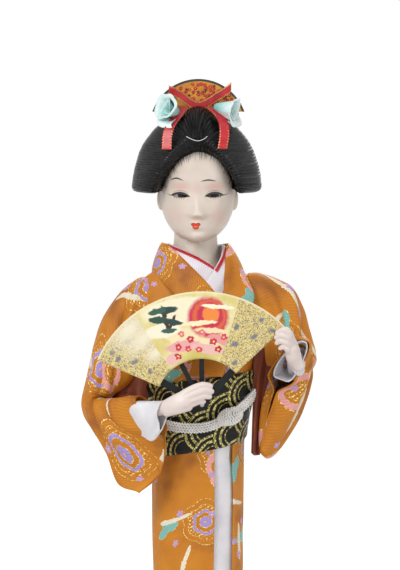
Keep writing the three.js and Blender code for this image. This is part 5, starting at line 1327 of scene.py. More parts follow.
def stitches_over(middle, out, wide, width, depth, rows=4, pitch=1.45):
    """Short slanting stitches in rows over the braid's face: neighbouring rows lean against each other."""
    run = np.concatenate([[0], np.cumsum(np.linalg.norm(np.diff(middle, axis=0), axis=1))])
    lines = []
    for row in range(rows):
        across = (row + 0.5) / rows * 2 - 1
        lean = 0.5 if row % 2 else -0.5
        crown = math.sqrt(1 - 0.72 * across**2)
        for start in np.arange(0.4 * (row % 2), run[-1] - pitch, pitch):
            ends = []
            for step in (-1, 1):
                place, span = start + pitch * 0.5 + step * lean * pitch, across + step * 0.8 / rows
                at = [np.array([np.interp(place, run, part[:, k]) for k in range(3)]) for part in (middle, out, wide)]
                ends.append(at[0] + at[1] * depth / 2 * crown + at[2] * (span * width / 2))
            lines.append(np.array(ends))
    return lines


cord_core = threads_along("cord_core", plait(middle, out, wide, CORD_WIDTH - 0.6, CORD_DEPTH - 0.9), braid_core_painted_shade, 0.7,
                          sides=6)
cord_face = threads_along("cord_face", stitches_over(middle, out, wide, CORD_WIDTH, CORD_DEPTH), braid_white, 0.44,
                          sides=6)
cord = join([cord_core, cord_face], "braided_cord")
print("cord round the sash, mm:", round(cord_length))
knot_middle, knot_out, _ = (part[0] for part in cord_frame(np.array([KNOT_TURN])))


def in_knot(points):
    """Places in the knot from (along the waist, up, outwards) in millimetres."""
    points = np.array(points, float)
    side = np.cross(knot_out, [0, 0, 1.0])
    return knot_middle + points[:, :1] * -side + points[:, 1:2] * np.array([0, 0, 1.0]) + points[:, 2:] * knot_out


# The knot is drawn tight, so only its plump outside shows: stitches in leaning rows over an egg-shaped heart.
KNOT_HALVES, KNOT_LEAN = (6.7, 4.3, 3.4), math.radians(16)


def on_knot(turn, rise):
    """Places on the knot's egg at turns across its front and rises from its foot to its top."""
    along_it, up = KNOT_HALVES[0] * np.sin(turn), KNOT_HALVES[1] * np.cos(turn) * np.sin(rise)
    notch = 1 - 0.16 * bell(along_it + 1.2 - up * 0.6, 0.9)
    out = KNOT_HALVES[2] * np.cos(turn) * np.cos(rise) * notch + 0.6
    tilted = np.stack([along_it * math.cos(KNOT_LEAN) - up * math.sin(KNOT_LEAN),
                       along_it * math.sin(KNOT_LEAN) + up * math.cos(KNOT_LEAN) * notch, out], axis=-1)
    return in_knot(tilted.reshape(-1, 3)).reshape(tilted.shape)


knot_lines = []
for k, rise in enumerate(np.linspace(-1.35, 1.35, 8)):
    lean = 0.075 if k % 2 else -0.075
    for turn in np.linspace(-1.3, 1.3, 13) + 0.05 * (k % 2):
        ends = np.array([[turn - lean, rise - 0.17], [turn + lean, rise + 0.17]])
        knot_lines.append(on_knot(ends[:, 0], ends[:, 1]))
# the knot's heart is grey too: painted shade between its stitches
knot_heart = surface("knot_heart", grid(lambda u, v: on_knot((v - 0.5) * 3.1, 2 * np.pi * u) - 0.45 * knot_out, 40, 30),
                     braid_core_painted_shade, caps=True)
cord_knot = join([threads_along("knot_stitches", knot_lines, braid_white, 0.5, sides=6), knot_heart], "cord_knot")
print("stitches on the knot:", len(knot_lines))

# %% [markdown]
# ## Wig
# The hair is black rayon fibre, combed over a wadded base and lacquered: a roll over the forehead, two stiff wings
# with a cut edge at ear height, a soft bag at the nape and a flat knot behind the comb. A wing's fibres start at
# the hairline, swell outwards and run to the back. So the form is ruled by a net: rows of points that follow the
# fibres, from root to back, and a smooth surface through all rows. The same net then carries the loose fibres.

# %% Wig nets
# rows up the doll's right side: root, front, crest, back and end of a lock
WING = [
    [(-19, -2, 346.4), (-20, -8, 346.4), (-22, -1, 346.6), (-20, 8, 346.8), (-17, 17, 348)],
    [(-20.6, -5, 344.6), (-24.6, -14.5, 344.3), (-32.6, -2, 344.3), (-29.6, 12, 345), (-19, 21, 347)],
    [(-18.8, -11, 349.8), (-23.6, -18, 350), (-33.2, -3, 350), (-29.8, 13, 352), (-18, 23, 356)],
    [(-15.2, -15, 355.6), (-20, -20.4, 357.5), (-31.2, -4, 358.5), (-27, 12, 362), (-15, 21, 367)],
    [(-10.6, -17.8, 360.8), (-14.5, -23, 364.5), (-27.6, -6, 366.8), (-22.4, 9, 370), (-11, 16, 375)],
    [(-6, -18.8, 363.6), (-9.5, -23.6, 368.6), (-20.6, -8.5, 375.4), (-15, 3, 377.5), (-8, 9, 380)],
    [(-3.6, -19.2, 364.4), (-5.6, -25, 371.2), (-9.6, -13, 381.4), (-8, -1, 382), (-5, 8, 382)],
]
CROWN = [(-1.2, -19.4, 364.6), (-1.8, -25.6, 371.4), (-1.8, -14, 383.8), (-1.8, -2, 384.4), (-1.8, 6, 383)]
# columns of the nape's bag, from the crown down and rolled in under
NAPE = [
    [(-10, 4, 377), (-19.4, 9, 366), (-21.4, 10, 353), (-18.4, 11, 341), (-14, 10.6, 331.5), (-10.5, 9, 337)],
    [(-9, 15, 378), (-15.5, 21, 364), (-17, 23.4, 350), (-14.5, 22.4, 337), (-11, 17, 328.6), (-8, 11, 335)],
]
NAPE_MIDDLE = [(-2.2, 19, 378), (-2.2, 27.5, 364), (-2.2, 30, 349), (-2.2, 28.4, 336), (-2.2, 20, 327), (-2.2, 12, 334)]


def mirrored(row, middle, first=None):
    """A row on the doll's left. The root of a lock keeps to the hairline, whose middle may lie elsewhere."""
    return [((first if k == 0 and first else middle) * 2 - x, y, z) for k, (x, y, z) in enumerate(row)]


def net(rows):
    """The rule of a smooth surface through rows of points: u goes from row to row, v along them."""
    return lambda u, v: through(np.stack([curve_at(row, v) for row in rows]), u)


wing_rows = WING + [CROWN] + [mirrored(row, -2.6, -1.4) for row in WING[::-1]]
nape_rows = NAPE + [NAPE_MIDDLE] + [mirrored(column, -2.2) for column in NAPE[::-1]]
BUN = dict(centre=(-2.0, 8.4, 379.6), halves=(20.4, 13.4, 13.2))


def bun_rule(u, v):
    """Locks of the top knot run from the doll's right to its left, round its middle."""
    turn, along_lock = 2 * np.pi * u, 0.04 + 0.92 * v
    across, round_it = -np.cos(np.pi * along_lock), np.sin(np.pi * along_lock)
    pinch = 1 - 0.14 * bell(across, 0.22)
    shape = np.stack([across, round_it * np.sin(turn) * pinch, round_it * np.cos(turn) * pinch], axis=-1)
    return np.array(BUN["centre"]) + shape * np.array(BUN["halves"])


def grooved(rule, locks, seed):
    """The net's surface with the grooves between locks, deeper between the few large ones."""

    def at(u, v):
        point = rule(u, v)
        normal = normals_of(point)
        wander = 1.2 * np.sin(3 * v + 8 * u)
        fine = np.sin(2 * np.pi * (u * locks * 4 + wander)) * 0.07
        large = 0.22 * ripple(u * locks, v * 1.6, seed, 3.0, 3)
        return point + normal * (fine + large)[..., None]

    return at


FIBRE_POINTS, FIBRE_LIFT, FIBRE_FUZZ = 18, (0.02, 0.35), 0.4


def loose_fibres(name, rule, count, seed, material, reach=(0.0, 1.0), radius=0.13, span=(0.004, 0.996)):
    """Fibres on a net: each keeps its place between the rows, wanders a little and starts and ends by chance."""
    dice = np.random.default_rng(seed)
    u0 = dice.uniform(*span, (count, 1))
    start = reach[0] + (reach[1] - reach[0]) * dice.uniform(0, 0.25, (count, 1)) ** 1.5
    end = reach[1] - (reach[1] - reach[0]) * dice.uniform(0, 0.3, (count, 1)) ** 1.3
    v = start + (end - start) * np.linspace(0, 1, FIBRE_POINTS)[None]
    u = np.clip(u0 + dice.uniform(-0.004, 0.004, (count, 1)) * np.sin(2.4 * v + dice.uniform(0, 6, (count, 1))), 0, 1)
    place, step = rule(u, v), 1e-3
    du = rule(np.clip(u + step, 0, 1), v) - rule(np.clip(u - step, 0, 1), v)
    dv = rule(u, np.clip(v + step, 0, 1)) - rule(u, np.clip(v - step, 0, 1))
    normal = np.cross(du, dv)
    normal /= np.maximum(np.linalg.norm(normal, axis=-1, keepdims=True), 1e-9)
    height = dice.uniform(*FIBRE_LIFT, (count, 1)) + 0.25 * np.sin(np.pi * (v - start) / (end - start))
    place = place + normal * height[..., None]
    return threads_along(name, list(place), material, radius, sides=3, fuzz=FIBRE_FUZZ, fuzz_scale=260, seed=seed,
                         taper=0.6)


# %% [markdown]
# ## Hair finish
# Lacquered rayon is deep black, and each fibre is a tiny gloss cylinder. The grooves and the loose fibres break the
# highlight into fine grey streaks across the crest of each wing. Some fibres there are coloured grey as a painted
# highlight, so they stay bright from every side.

# %% Hair meshes
hair_black = stuff("lacquered_black_rayon", "060607", "0B0B0D", 0.3, cloud=200, on_uv=False, depth=0.1,
                   Specular_IOR_Level=0.26)
hair_fibre = stuff("loose_black_rayon", "0A0A0C", "1C1C20", 0.22, cloud=700, on_uv=False, depth=0.0,
                   Specular_IOR_Level=0.5)
# grey fibre colour for the crests of the wings and the roll: a painted highlight
hair_painted_highlight = stuff("painted_highlight_grey_fibres", "1C1D20", "4A4C50", 0.25, cloud=500, on_uv=False, depth=0.0)
wing_rule, nape_rule = net(wing_rows), net(nape_rows)
wings = surface("wig_wings", grid(grooved(wing_rule, 60, 51), 560, 60), hair_black, thickness=1.0, flip=True)
nape = surface("wig_nape", grid(grooved(nape_rule, 40, 52), 220, 60), hair_black, thickness=1.0, flip=True)
bun = surface("wig_top_knot", grid(grooved(bun_rule, 44, 53), 300, 60), hair_black, caps=False)
fibres = [
    loose_fibres("wing_fibres", wing_rule, 1800, 61, hair_fibre, (0.02, 1)),
    loose_fibres("nape_fibres", nape_rule, 700, 62, hair_fibre, (0.0, 0.9)),
    loose_fibres("knot_fibres", bun_rule, 520, 63, hair_fibre, (0.0, 1)),
    # the next two sets of fibres carry the painted highlight along the crests
    loose_fibres("painted_highlight_streaks", wing_rule, 300, 64, hair_painted_highlight, (0.27, 0.52), radius=0.1, span=(0.14, 0.86)),
    loose_fibres("roll_painted_highlight_streaks", wing_rule, 200, 65, hair_painted_highlight, (0.3, 0.5), radius=0.1, span=(0.42, 0.58)),
]
print("wig faces:", sum(len(o.data.polygons) for o in [wings, nape, bun, *fibres]))
# the thread's dip is given as places x and z, and the nearest spot of the net gives its depth
net_spots = grid(lambda u, v: wing_rule(0.4 + 0.2 * u, 0.5 * v), 160, 160).reshape(-1, 3)
thread_line = []
for x, z in path([(-7.6, 371.6), (-4.6, 370.2), (-1.8, 369.6), (0.8, 370.4), (2.6, 371.8)], np.linspace(0, 1, 15)):
    spot = net_spots[np.argmin((net_spots[:, 0] - x) ** 2 + (net_spots[:, 2] - z) ** 2)]
    thread_line.append([x, spot[1] - 1.5, z])
thread_line = np.array(thread_line)
white_thread = stuff("white_tying_thread", "C9C5C0", "E2DFDB", 0.6, on_uv=False, depth=0.1)
tie = threads_along("roll_tying_thread", [thread_line], white_thread, 0.17, sides=6)

# %% [markdown]
# ## Ribbon, thread stitches and roses
# A red satin ribbon lies over the comb, and two ends hang on the roll. Its edges are whipped with gold thread, which
# shows as a row of short dashes. The dashes are threads too: each crosses the edge. A rose is a mint satin ribbon
# rolled to a cone: one edge is drawn together at the tip, and the free edge rolls outwards. Each rose sits on a
# steel pin, and the two open to different sides.

# %% Ribbons
gold_thread = stuff("gold_whipping_thread", "C98F2E", "FFE08A", 0.32, cloud=900, on_uv=False, depth=0.1, Metallic=0.5)
ribbon_red = stuff("red_satin_ribbon", "A60E18", "CE2632", 0.3, cloud=200, weave=0.0005, depth=0.15, Sheen_Weight=0.12)
BAND = [(-16.4, -9.6, 394.0), (-14.2, -9.8, 393.2), (-10.4, -9.6, 391.1), (-5.4, -9.2, 387.4), (-2.0, -9, 386.0),
        (2.0, -9.2, 387.3), (6.9, -9.6, 390.4), (11.8, -10, 393.4), (14.4, -9.8, 395.6)]


def ribbon_rule(points, width, across):
    """A ribbon along points. across is the way of its width."""
    across = np.array(across, float) / np.linalg.norm(across)

    def at(u, v):
        middle = path(points, v)
        wave = 0.25 * np.sin(v * 14)[..., None] * np.array([0, -1, 0])
        return middle + across * ((u - 0.5) * width)[..., None] + wave

    return at


def whipping(name, rule, length, pitch=0.95):
    """Gold dashes along both edges of a ribbon."""
    count = int(length / pitch)
    lines = []
    for edge in (0.035, 0.965):
        for k in range(count):
            v = (k + 0.5) / count
            inner, outer = (edge + 0.12, edge - 0.03) if edge < 0.5 else (edge - 0.12, edge + 0.03)
            ends = np.array([[inner, v - 0.2 / count], [outer, v + 0.2 / count]])
            place = rule(ends[:, 0], ends[:, 1])
            lines.append(place + [0, -0.42, 0])
    return threads_along(name, lines, gold_thread, 0.16, sides=5)


ribbons, stitches = [], []
band_rule = ribbon_rule(BAND, 4.6, (0, -0.1, 1))
ribbons.append(surface("comb_ribbon", grid(band_rule, 8, 80), ribbon_red, thickness=0.5, flip=True))
stitches.append(whipping("comb_ribbon_whipping", band_rule, 44))
HANGS = {
    "right": [(-8.8, -13.6, 385.6), (-12.4, -17.2, 380.8), (-15.8, -20.8, 376), (-17.1, -23.2, 371),
              (-17.3, -24.2, 365.2)],
    "left": [(4.6, -13.8, 385.2), (8.6, -17, 381.6), (10.6, -20.8, 377.4), (10.9, -23.8, 372), (9.9, -25, 365.6)],
}
for side, points in HANGS.items():
    rule = ribbon_rule(points, 4.8, (1, 0.2 if side == "left" else -0.2, 0))
    ribbons.append(surface(f"hanging_ribbon_{side}", grid(rule, 8, 50), ribbon_red, thickness=0.5))
    stitches.append(whipping(f"hanging_whipping_{side}", rule, 18))

# %% Roses
# sewn tip, way the roll opens, its length, its radius, turns, first angle
ROSES = {
    "right": ((-11.6, -14.6, 382.6), (-0.78, -0.5, 0.34), 10.4, 9.0, 2.3, 3.4),
    "left": ((6.2, -14.6, 386.2), (0.9, -0.36, -0.16), 14.2, 8.4, 2.2, 5.2),
}


def rose_satin():
    """Mint satin, painted a deeper teal towards the sewn edge and in the heart of the roll: painted shade."""
    made, tree, shader = finish("mint_satin_with_painted_shade", Roughness=0.36, Sheen_Weight=0.2)
    place = cloth_place(tree)
    axes = add(tree, "SeparateXYZ", (place,), out=None)
    cloud = add(tree, "TexNoise", {"Vector": place, "Scale": 220, "Detail": 2})
    depth = add(tree, "Math", (axes.outputs[1], 46.0), operation="MULTIPLY")
    depth = add(tree, "Math", (axes.outputs[0], 5.0, depth), operation="MULTIPLY_ADD")
    depth = add(tree, "Math", (cloud, 0.25, depth), operation="MULTIPLY_ADD")
    colour = add(tree, "ValToRGB", (depth,), stops=[
        (0.1, "4F9A94"), (0.3, "90CAC6"), (0.52, "C9E5E3"), (0.8, "E6F3F2")])
    wire(tree, shader, Base_Color=colour)
    relief(tree, shader, threads(tree, place, 0.0006, 0.8), 0.12, 0.0001)
    return made


roses, mint = {}, rose_satin()
for name, (tip, way, length, radius, turns, start) in ROSES.items():
    out = np.array(way) / np.linalg.norm(way)
    right = np.cross([0, 0, 1.0], out)
    right /= np.linalg.norm(right)
    up = np.cross(out, right)

    def rose_points(u, v):
        """A ribbon rolled to a cone: u along it, v from the sewn tip to the free edge, which rolls outwards."""
        a = 2 * np.pi * turns * u + start
        wide = (0.16 + 0.84 * u**0.85) * (0.2 + 0.8 * v**0.9)
        lip = smooth(v, 0.78, 1.0)
        reach = radius * wide * (1 + 0.05 * np.sin(9 * a) * (1 - v) ** 2)
        reach = reach + (0.75 * np.sin(2.5 * a + 1) + 0.4 * np.sin(6 * a)) * v**2 * (0.3 + u) + 1.1 * lip * (0.2 + u)
        along = length * v * (0.74 + 0.26 * u) + 0.8 * np.sin(1.7 * a + 2) * v**2 - 1.5 * lip**2 * (0.3 + u)
        end = smooth(u, 0.92, 1.0)
        along = along * (1 - 0.45 * end)
        point = (np.cos(a) * reach)[..., None] * right + (np.sin(a) * reach * 0.94)[..., None] * up
        return np.array(tip) + point + along[..., None] * out

    roses[name] = surface(f"ribbon_rose_{name}", grid(rose_points, 240, 34), mint, thickness=0.3)

# %% [markdown]
# ## Comb
# The comb is the frame's own half-round plate, gilded, with a black lacquered rim. Its face carries painted plum
# blossom on dark sprigs, raised a little, as lacquer painting is. One blossom is built once in a node tree, five
# petals round a heart, and set on scattered points, each with its own size and turn.

# %% Blossom tree


def blossom_tree(petals=5):
    """Geometry nodes that set a flat blossom on each point, facing -Y. Point attributes: size, spin."""
    tree = bpy.data.node_groups.new("scattered_blossoms", "GeometryNodeTree")
    sockets = {"Geometry": "Geometry", "Petal Length": "Float", "Relief": "Float", "Material": "Material"}
    for name, kind in sockets.items():
        tree.interface.new_socket(name, in_out="INPUT", socket_type="NodeSocket" + kind)
    tree.interface.new_socket("Geometry", in_out="OUTPUT", socket_type="NodeSocketGeometry")
    source, result = tree.nodes.new("NodeGroupInput"), tree.nodes.new("NodeGroupOutput")
    ball = add(tree, "GeometryNodeMeshUVSphere", {"Segments": 8, "Rings": 5, "Radius": 0.5})
    high = source.outputs["Relief"]
    scale = add(tree, "CombineXYZ", (0.9, high, 1.0))
    petal = add(tree, "GeometryNodeTransform", {"Geometry": ball, "Translation": (0, 0, 0.52), "Scale": scale})
    ring = add(tree, "GeometryNodeMeshLine", {"Count": petals, "Offset": (0, 0, 0)})
    index = add(tree, "GeometryNodeInputIndex")
    turn = add(tree, "Math", (index, 2 * math.pi / petals), operation="MULTIPLY")
    turned = add(tree, "CombineXYZ", (0.0, turn, 0.0))
    flower = add(tree, "GeometryNodeInstanceOnPoints", {"Points": ring, "Instance": petal, "Rotation": turned})
    size = add(tree, "GeometryNodeInputNamedAttribute", {"Name": "size"}, data_type="FLOAT")
    size = add(tree, "Math", (size, source.outputs["Petal Length"]), operation="MULTIPLY")
    spin = add(tree, "GeometryNodeInputNamedAttribute", {"Name": "spin"}, data_type="FLOAT")
    spun = add(tree, "CombineXYZ", (0.0, spin, 0.0))
    placed = add(tree, "GeometryNodeInstanceOnPoints", {
        "Points": source.outputs["Geometry"], "Instance": flower, "Rotation": spun, "Scale": size})
    whole = add(tree, "GeometryNodeRealizeInstances", (placed,))
    shaded = add(tree, "GeometryNodeSetMaterial", {"Geometry": whole, "Material": source.outputs["Material"]})
    tree.links.new(shaded, result.inputs[0])
    return tree


scattered_blossoms = blossom_tree()


def blossoms(name, places, sizes, material, petal=1.0, relief_share=0.25, seed=5):
    """Flat blossoms at places in millimetres."""
    mesh = bpy.data.meshes.new(name)
    mesh.from_pydata((np.array(places) * MM).tolist(), [], [])
    size, spin = mesh.attributes.new("size", "FLOAT", "POINT"), mesh.attributes.new("spin", "FLOAT", "POINT")
    dice = np.random.default_rng(seed)
    size.data.foreach_set("value", np.array(sizes, dtype=np.float32))
    spin.data.foreach_set("value", dice.uniform(0, 6.3, len(places)).astype(np.float32))
    holder = link(name, mesh, smooth=False)
    return grow(holder, scattered_blossoms, material, Relief=relief_share, **{"Petal Length": petal * MM})


COMB_X, COMB_Z, COMB_FRONT_Y, COMB_RADIUS = -1.8, 375.2, -5.6, 24.2
blossom_red = stuff("raised_vermilion_lacquer", "A41E0A", "C8330F", 0.35, cloud=700, on_uv=False, depth=0.1)
sprig_brown = stuff("dark_lacquer_sprig", "3E0A06", "641408", 0.35, cloud=700, on_uv=False, depth=0.1)
blossom_heart = stuff("gold_blossom_heart", "C9962E", "F6D878", 0.3, cloud=900, on_uv=False, depth=0.1, Metallic=0.4)
dice = np.random.default_rng(81)
sprigs, places = [], []
while len(places) < 54:
    x, z = dice.uniform(-20, 18), dice.uniform(386, 398.4)
    crowd = 0.08 + 0.92 * smooth(x, -3, 6)
    near = min((math.hypot(x - p[0], z - p[2]) for p in places), default=9)
    if math.hypot(x - COMB_X, z - COMB_Z) < COMB_RADIUS - 2.0 and near > 1.5 and dice.uniform() < crowd:
        places.append(np.array([x, COMB_FRONT_Y - 0.2, z]))
for k in range(14):
    x, z = -14 + 2.0 * k + dice.uniform(-0.8, 0.8), 389.5 + 5.5 * math.sin(k * 1.7) ** 2 + dice.uniform(-1, 1)
    if math.hypot(x - COMB_X, z - COMB_Z) < COMB_RADIUS - 2.4:
        for turn in (-0.9, 0, 0.9):
            root = np.array([x, COMB_FRONT_Y - 0.15, z])
            sprigs.append(np.linspace(root, root + [1.1 * math.sin(turn + 0.2), 0, 1.1 * math.cos(turn + 0.2)], 4))
        sprigs.append(np.linspace(root, root + [0.1, 0, -1.0], 4))
comb_sprigs = threads_along("comb_sprigs", sprigs, sprig_brown, 0.24, sides=5, taper=0.4)
comb_blossoms = blossoms("comb_blossoms", places, dice.uniform(0.8, 1.15, len(places)), blossom_red, 0.95)
comb_hearts = blossoms("comb_blossom_hearts", [p + [0, -0.14, 0] for p in places], [0.13] * len(places), blossom_heart)
print("blossoms on the comb:", len(places))


def gilded_comb():
    """Gold lacquer with a cloudy, brushed depth inside a black rim."""
    made, tree, shader = finish("gold_lacquered_comb", Roughness=0.28, Coat_Weight=0.7, Coat_Roughness=0.08)
    place = add(tree, "TexCoord", out=3)
    away = add(tree, "VectorMath", (place, (COMB_X * MM, 0, COMB_Z * MM)), operation="SUBTRACT")
    away = add(tree, "VectorMath", (away, (1, 0, 1)), operation="MULTIPLY")
    reach = add(tree, "VectorMath", (away,), operation="LENGTH", out=1)
    share = add(tree, "Math", (reach, COMB_RADIUS * MM), operation="DIVIDE")
    noise = add(tree, "TexNoise", {"Vector": place, "Scale": 260, "Detail": 3})
    cloudy = add(tree, "ValToRGB", (noise,), stops=[(0.3, "B46C06"), (0.55, "CF8A0A"), (0.75, "E2A21C")])
    rim = add(tree, "MapRange", {"Value": share, "From Min": 0.95, "From Max": 0.957})
    colour = add(tree, "Mix", {0: rim, 6: cloudy, 7: linear("0D0908")}, out=2, data_type="RGBA")
    wire(tree, shader, Base_Color=colour)
    metal = add(tree, "MapRange", {"Value": rim, "To Min": 0.45, "To Max": 0.0})
    wire(tree, shader, Metallic=metal)
    return made


gilt = gilded_comb()

# %% [markdown]
# ## Hands
# The hands are cast in the same pale vinyl as the head: slender, with the fingers close together. The doll's right
# hand lies flat over the fan's pivot, and the left one pinches its corner. Every finger is a tapered limb with
# round ends, from the knuckle to the tip, the palm is three or four thick limbs side by side, and remeshing melts
# them together and leaves a soft furrow between the fingers, as the mould does.

# %% Limbs


def limb(name, stations, flat=1.0, sides=24):
    """A round-ended limb through (x, y, z, radius) stations. flat thins it from front to back."""
    stations = np.array(stations, float)
    t = np.linspace(0, 1, 26)
    line = path(stations, t)
    line, radius = line[:, :3], line[:, 3]
    ends = np.sin(np.linspace(0, np.pi / 2, 7))[:-1]
    first, last = line[0] - line[1], line[-1] - line[-2]
    first, last = first / np.linalg.norm(first), last / np.linalg.norm(last)
    root_end = line[0] + first * (radius[0] * np.cos(np.arcsin(ends)))[:, None]
    tip_end = line[-1] + last * (radius[-1] * np.cos(np.arcsin(ends[::-1])))[:, None]
    centres = np.concatenate([root_end, line, tip_end])
    radii = np.concatenate([radius[0] * ends, radius, radius[-1] * ends[::-1]])
    onward = np.gradient(centres, axis=0)
    onward /= np.linalg.norm(onward, axis=1, keepdims=True)
    side = np.cross(onward, [0, 1.0, 0])
    side /= np.maximum(np.linalg.norm(side, axis=1, keepdims=True), 1e-6)
    front = np.cross(side, onward)
    a = np.linspace(0, 2 * np.pi, sides + 1)
    radii = np.maximum(radii, 0.02)[:, None, None]
    points = centres[:, None] + side[:, None] * (radii * np.cos(a)[None, :, None])
    points = points + front[:, None] * (radii * flat * np.sin(a)[None, :, None])
    return surface(name, points, None, caps=True)


def cast(name, limbs, material, voxel=0.28):
    """Melts limbs into one smooth casting."""
    parts = [limb("limb", stations, flat) for stations, flat in limbs]
    whole = join(parts, name)
    coat(whole.data, material)
    return settle(whole, REMESH=dict(mode="VOXEL", voxel_size=voxel * MM), SMOOTH=dict(factor=0.5, iterations=4))


# %% Hand meshes
BEHIND = -43.4
HAND_RIGHT = [
    ([(-24.5, -42.8, 238.8, 3.2), (-18, -45.6, 240.6, 3.6), (-12, -49.6, 243, 4.0), (-8.6, -50.4, 244.4, 3.9)], 0.85),
    ([(-17, -46.4, 241.4, 3.4), (-11.6, -49.6, 245.2, 3.0), (-6.4, -50.2, 248.2, 2.5)], 0.9),
    ([(-17, -46.4, 239.4, 3.2), (-11.6, -49.4, 240.8, 2.9), (-6.8, -49.8, 241.6, 2.3)], 0.9),
    ([(-9.6, -50.2, 247.2, 2.2), (-4.6, -50.9, 250.4, 1.9), (0.4, -50.2, 252.2, 1.65), (4.0, -48.9, 251.6, 1.35)], 1),
    ([(-9.6, -50.6, 245.2, 2.2), (-4.0, -51.4, 247.9, 1.9), (1.0, -50.8, 249.6, 1.65), (4.6, -49.2, 249.0, 1.35)], 1),
    ([(-9.6, -50.4, 243.2, 2.1), (-4.2, -51.2, 245.3, 1.85), (0.4, -50.6, 246.8, 1.6), (3.6, -49.2, 246.4, 1.3)], 1),
    ([(-10.2, -49.8, 241.2, 2.0), (-5.4, -50.4, 242.8, 1.7), (-1.8, -49.9, 244.0, 1.45), (0.8, -49.0, 244.0, 1.15)], 1),
    ([(-16, -44.6, 242, 2.9), (-11, BEHIND + 2.6, 245, 2.3), (-5.6, BEHIND + 2.2, 248.4, 1.9),
      (-1.6, BEHIND + 1.8, 250.6, 1.5)], 1),
]
HAND_LEFT = [
    ([(51, -20, 262, 2.8), (50.6, -30, 259.4, 2.9), (48.6, -38.4, 261.6, 3.3), (47.2, -43.6, 265.6, 3.9),
      (46.2, -45.6, 269, 3.6)], 0.9),
    ([(47.4, -43.4, 268, 3.2), (45.8, -46.6, 273, 2.5), (44.2, -48.2, 276, 2.1)], 0.9),
    ([(45.4, -47.6, 274.6, 2.1), (43.4, -50.2, 277.8, 1.9), (40.2, -50.6, 279.0, 1.65), (37.2, -49.0, 277.6, 1.35)], 1),
    ([(44.8, -47.4, 272.4, 2.1), (42.4, -50.2, 275.6, 1.9), (39.0, -50.4, 276.6, 1.6), (36.6, -48.9, 275.2, 1.3)], 1),
    ([(44.4, -47, 270.2, 2.0), (41.8, -49.6, 273.0, 1.8), (38.8, -49.8, 273.8, 1.5), (36.8, -48.8, 272.6, 1.2)], 1),
    ([(44.6, -46.4, 268, 1.9), (42.2, -48.6, 270.0, 1.7), (40.0, -48.8, 270.8, 1.45), (38.4, -48.2, 270.0, 1.15)], 1),
    ([(46.4, -42, 265.6, 2.7), (43.6, BEHIND + 2.4, 270.4, 2.2), (40, BEHIND + 2.0, 273.6, 1.8),
      (36.6, BEHIND + 1.7, 275.0, 1.4)], 1),
]
# the left hand's wrist lies nearer the body than its finger tips
HAND_LEFT = [
    ([(x - 0.5 - 2.3 * float(smooth(x, 39, 48)), y, z, r) for x, y, z, r in rows], flat) for rows, flat in HAND_LEFT]
hands = {
    "right": cast("hand_right_casting", HAND_RIGHT, hand_paint),
    "left": cast("hand_left_casting", HAND_LEFT, hand_paint),
}
print("hand faces:", [len(hand.data.polygons) for hand in hands.values()])

# %% [markdown]
# ## Padded arms
# Under the sleeves an arm is a wire wound with wadding and a white bias strip. Only the last bit shows, in the cuff.

# %% Arms
SHOULDERS = {"right": (-27, -1, 281, 5), "left": (30, -1, 284, 5)}
WRISTS = {"right": [(-25.6, -39.6, 238.2, 2.8), (-22.6, -43, 239, 2.8)], "left": [(47.6, -32, 257.4, 2.8)]}
arms = {}
for side, shoulder in SHOULDERS.items():
    stations = [shoulder]
    for v in (0.32, 0.5, 0.66, 0.84, 0.97):
        s = 0.74 + (0.14 - 0.74) * v**1.5
        middle = sleeve_place(side, np.array([v]), np.array([s]), np.zeros(1), np.zeros(1))[0]
        stations.append((*middle, 4.6 - 2.0 * v))
    arms[side] = limb(f"padded_arm_{side}", stations + WRISTS[side], sides=20)
for arm in arms.values():
    coat(arm.data, white_cotton)

# %% [markdown]
# ## Fan
# The fan is a printed paper leaf glued to black sticks. The sticks are the frame's own, and the leaf is a thin ring
# sector laid where the frame has it. The picture on it is a new one in an old manner: a middle field of gold mist
# with a red sun behind clouds, pines on the left, plum blossom below, between two fields of sand paper strewn with
# cut silver leaf, which has tarnished to grey. Each brush spot is a turned ellipse with a frayed edge, so a list of
# spots and a loop paint it.

# %% Leaf paint
FAN_PIVOT_Z = 242.0
# how far out from the pivot and at which degrees, half-width and half-height in mm, turn in degrees, colour
LEAF_SPOTS = [
    (47, 101, 20, 6.5, 6, "F3E9C8"), (33, 96, 14, 4.5, -4, "F1DFB4"), (41, 118, 9, 3.6, 12, "F4EBD2"),
    (43, 86, 9.8, 9.8, 0, "C8284A"), (43.6, 85.4, 8.2, 8.2, 0, "D8643A"), (44, 85, 6.4, 6.4, 0, "C8284A"),
    (44.4, 84.6, 4.0, 4.0, 0, "EE8A3C"), (40, 93, 9.5, 1.3, 5, "F6E7BE"), (48.6, 81, 8, 1.1, -4, "F8EECF"),
    (36.6, 84, 7.5, 1.3, -2, "F1DCB0"),
    (46, 113, 1.1, 6.2, 14, "3A211A"), (42.4, 110.6, 0.9, 4.6, -24, "3A211A"), (49.4, 110.6, 5.4, 1.7, 8, "1D3A34"),
    (46.4, 116.4, 5.2, 1.7, 2, "22463C"), (42.8, 108.8, 4.4, 1.4, -6, "1D3A34"), (50.6, 115.6, 4.4, 1.5, 14, "2C5A48"),
    (39.6, 114, 3.6, 1.2, 6, "2C5A48"), (30.2, 108, 8.4, 2.6, 10, "E7A7A4"), (27.6, 84, 8.4, 2.4, -8, "E9B8B0"),
    (33.2, 74, 6.4, 2.2, -16, "E39A96"), (26.6, 122, 3.8, 2.8, 20, "E9B8B0"),
]
BLOSSOM_SPOTS = [(30.4, 112, "C8284A"), (28.2, 104, "D8425A"), (32.6, 100, "C8284A"), (27.2, 93, "D8425A"),
                 (31.6, 80, "C8284A"), (28.4, 74, "B81C3C"), (34.8, 72, "D8425A"), (36.2, 106, "E0707C"),
                 (26.4, 116, "C8284A"), (35.4, 90, "E0707C")]
SILVER_SPOTS = [(50.6, 55.2, 20), (50, 46.4, -24), (33.6, 62, 10), (26, 52.5, 40), (41.5, 66.4, 75), (42, 53, 30),
                (50.7, 149.6, 15), (46.4, 151, 50), (39, 147, 20), (30, 147, 60), (47.8, 139, 35)]


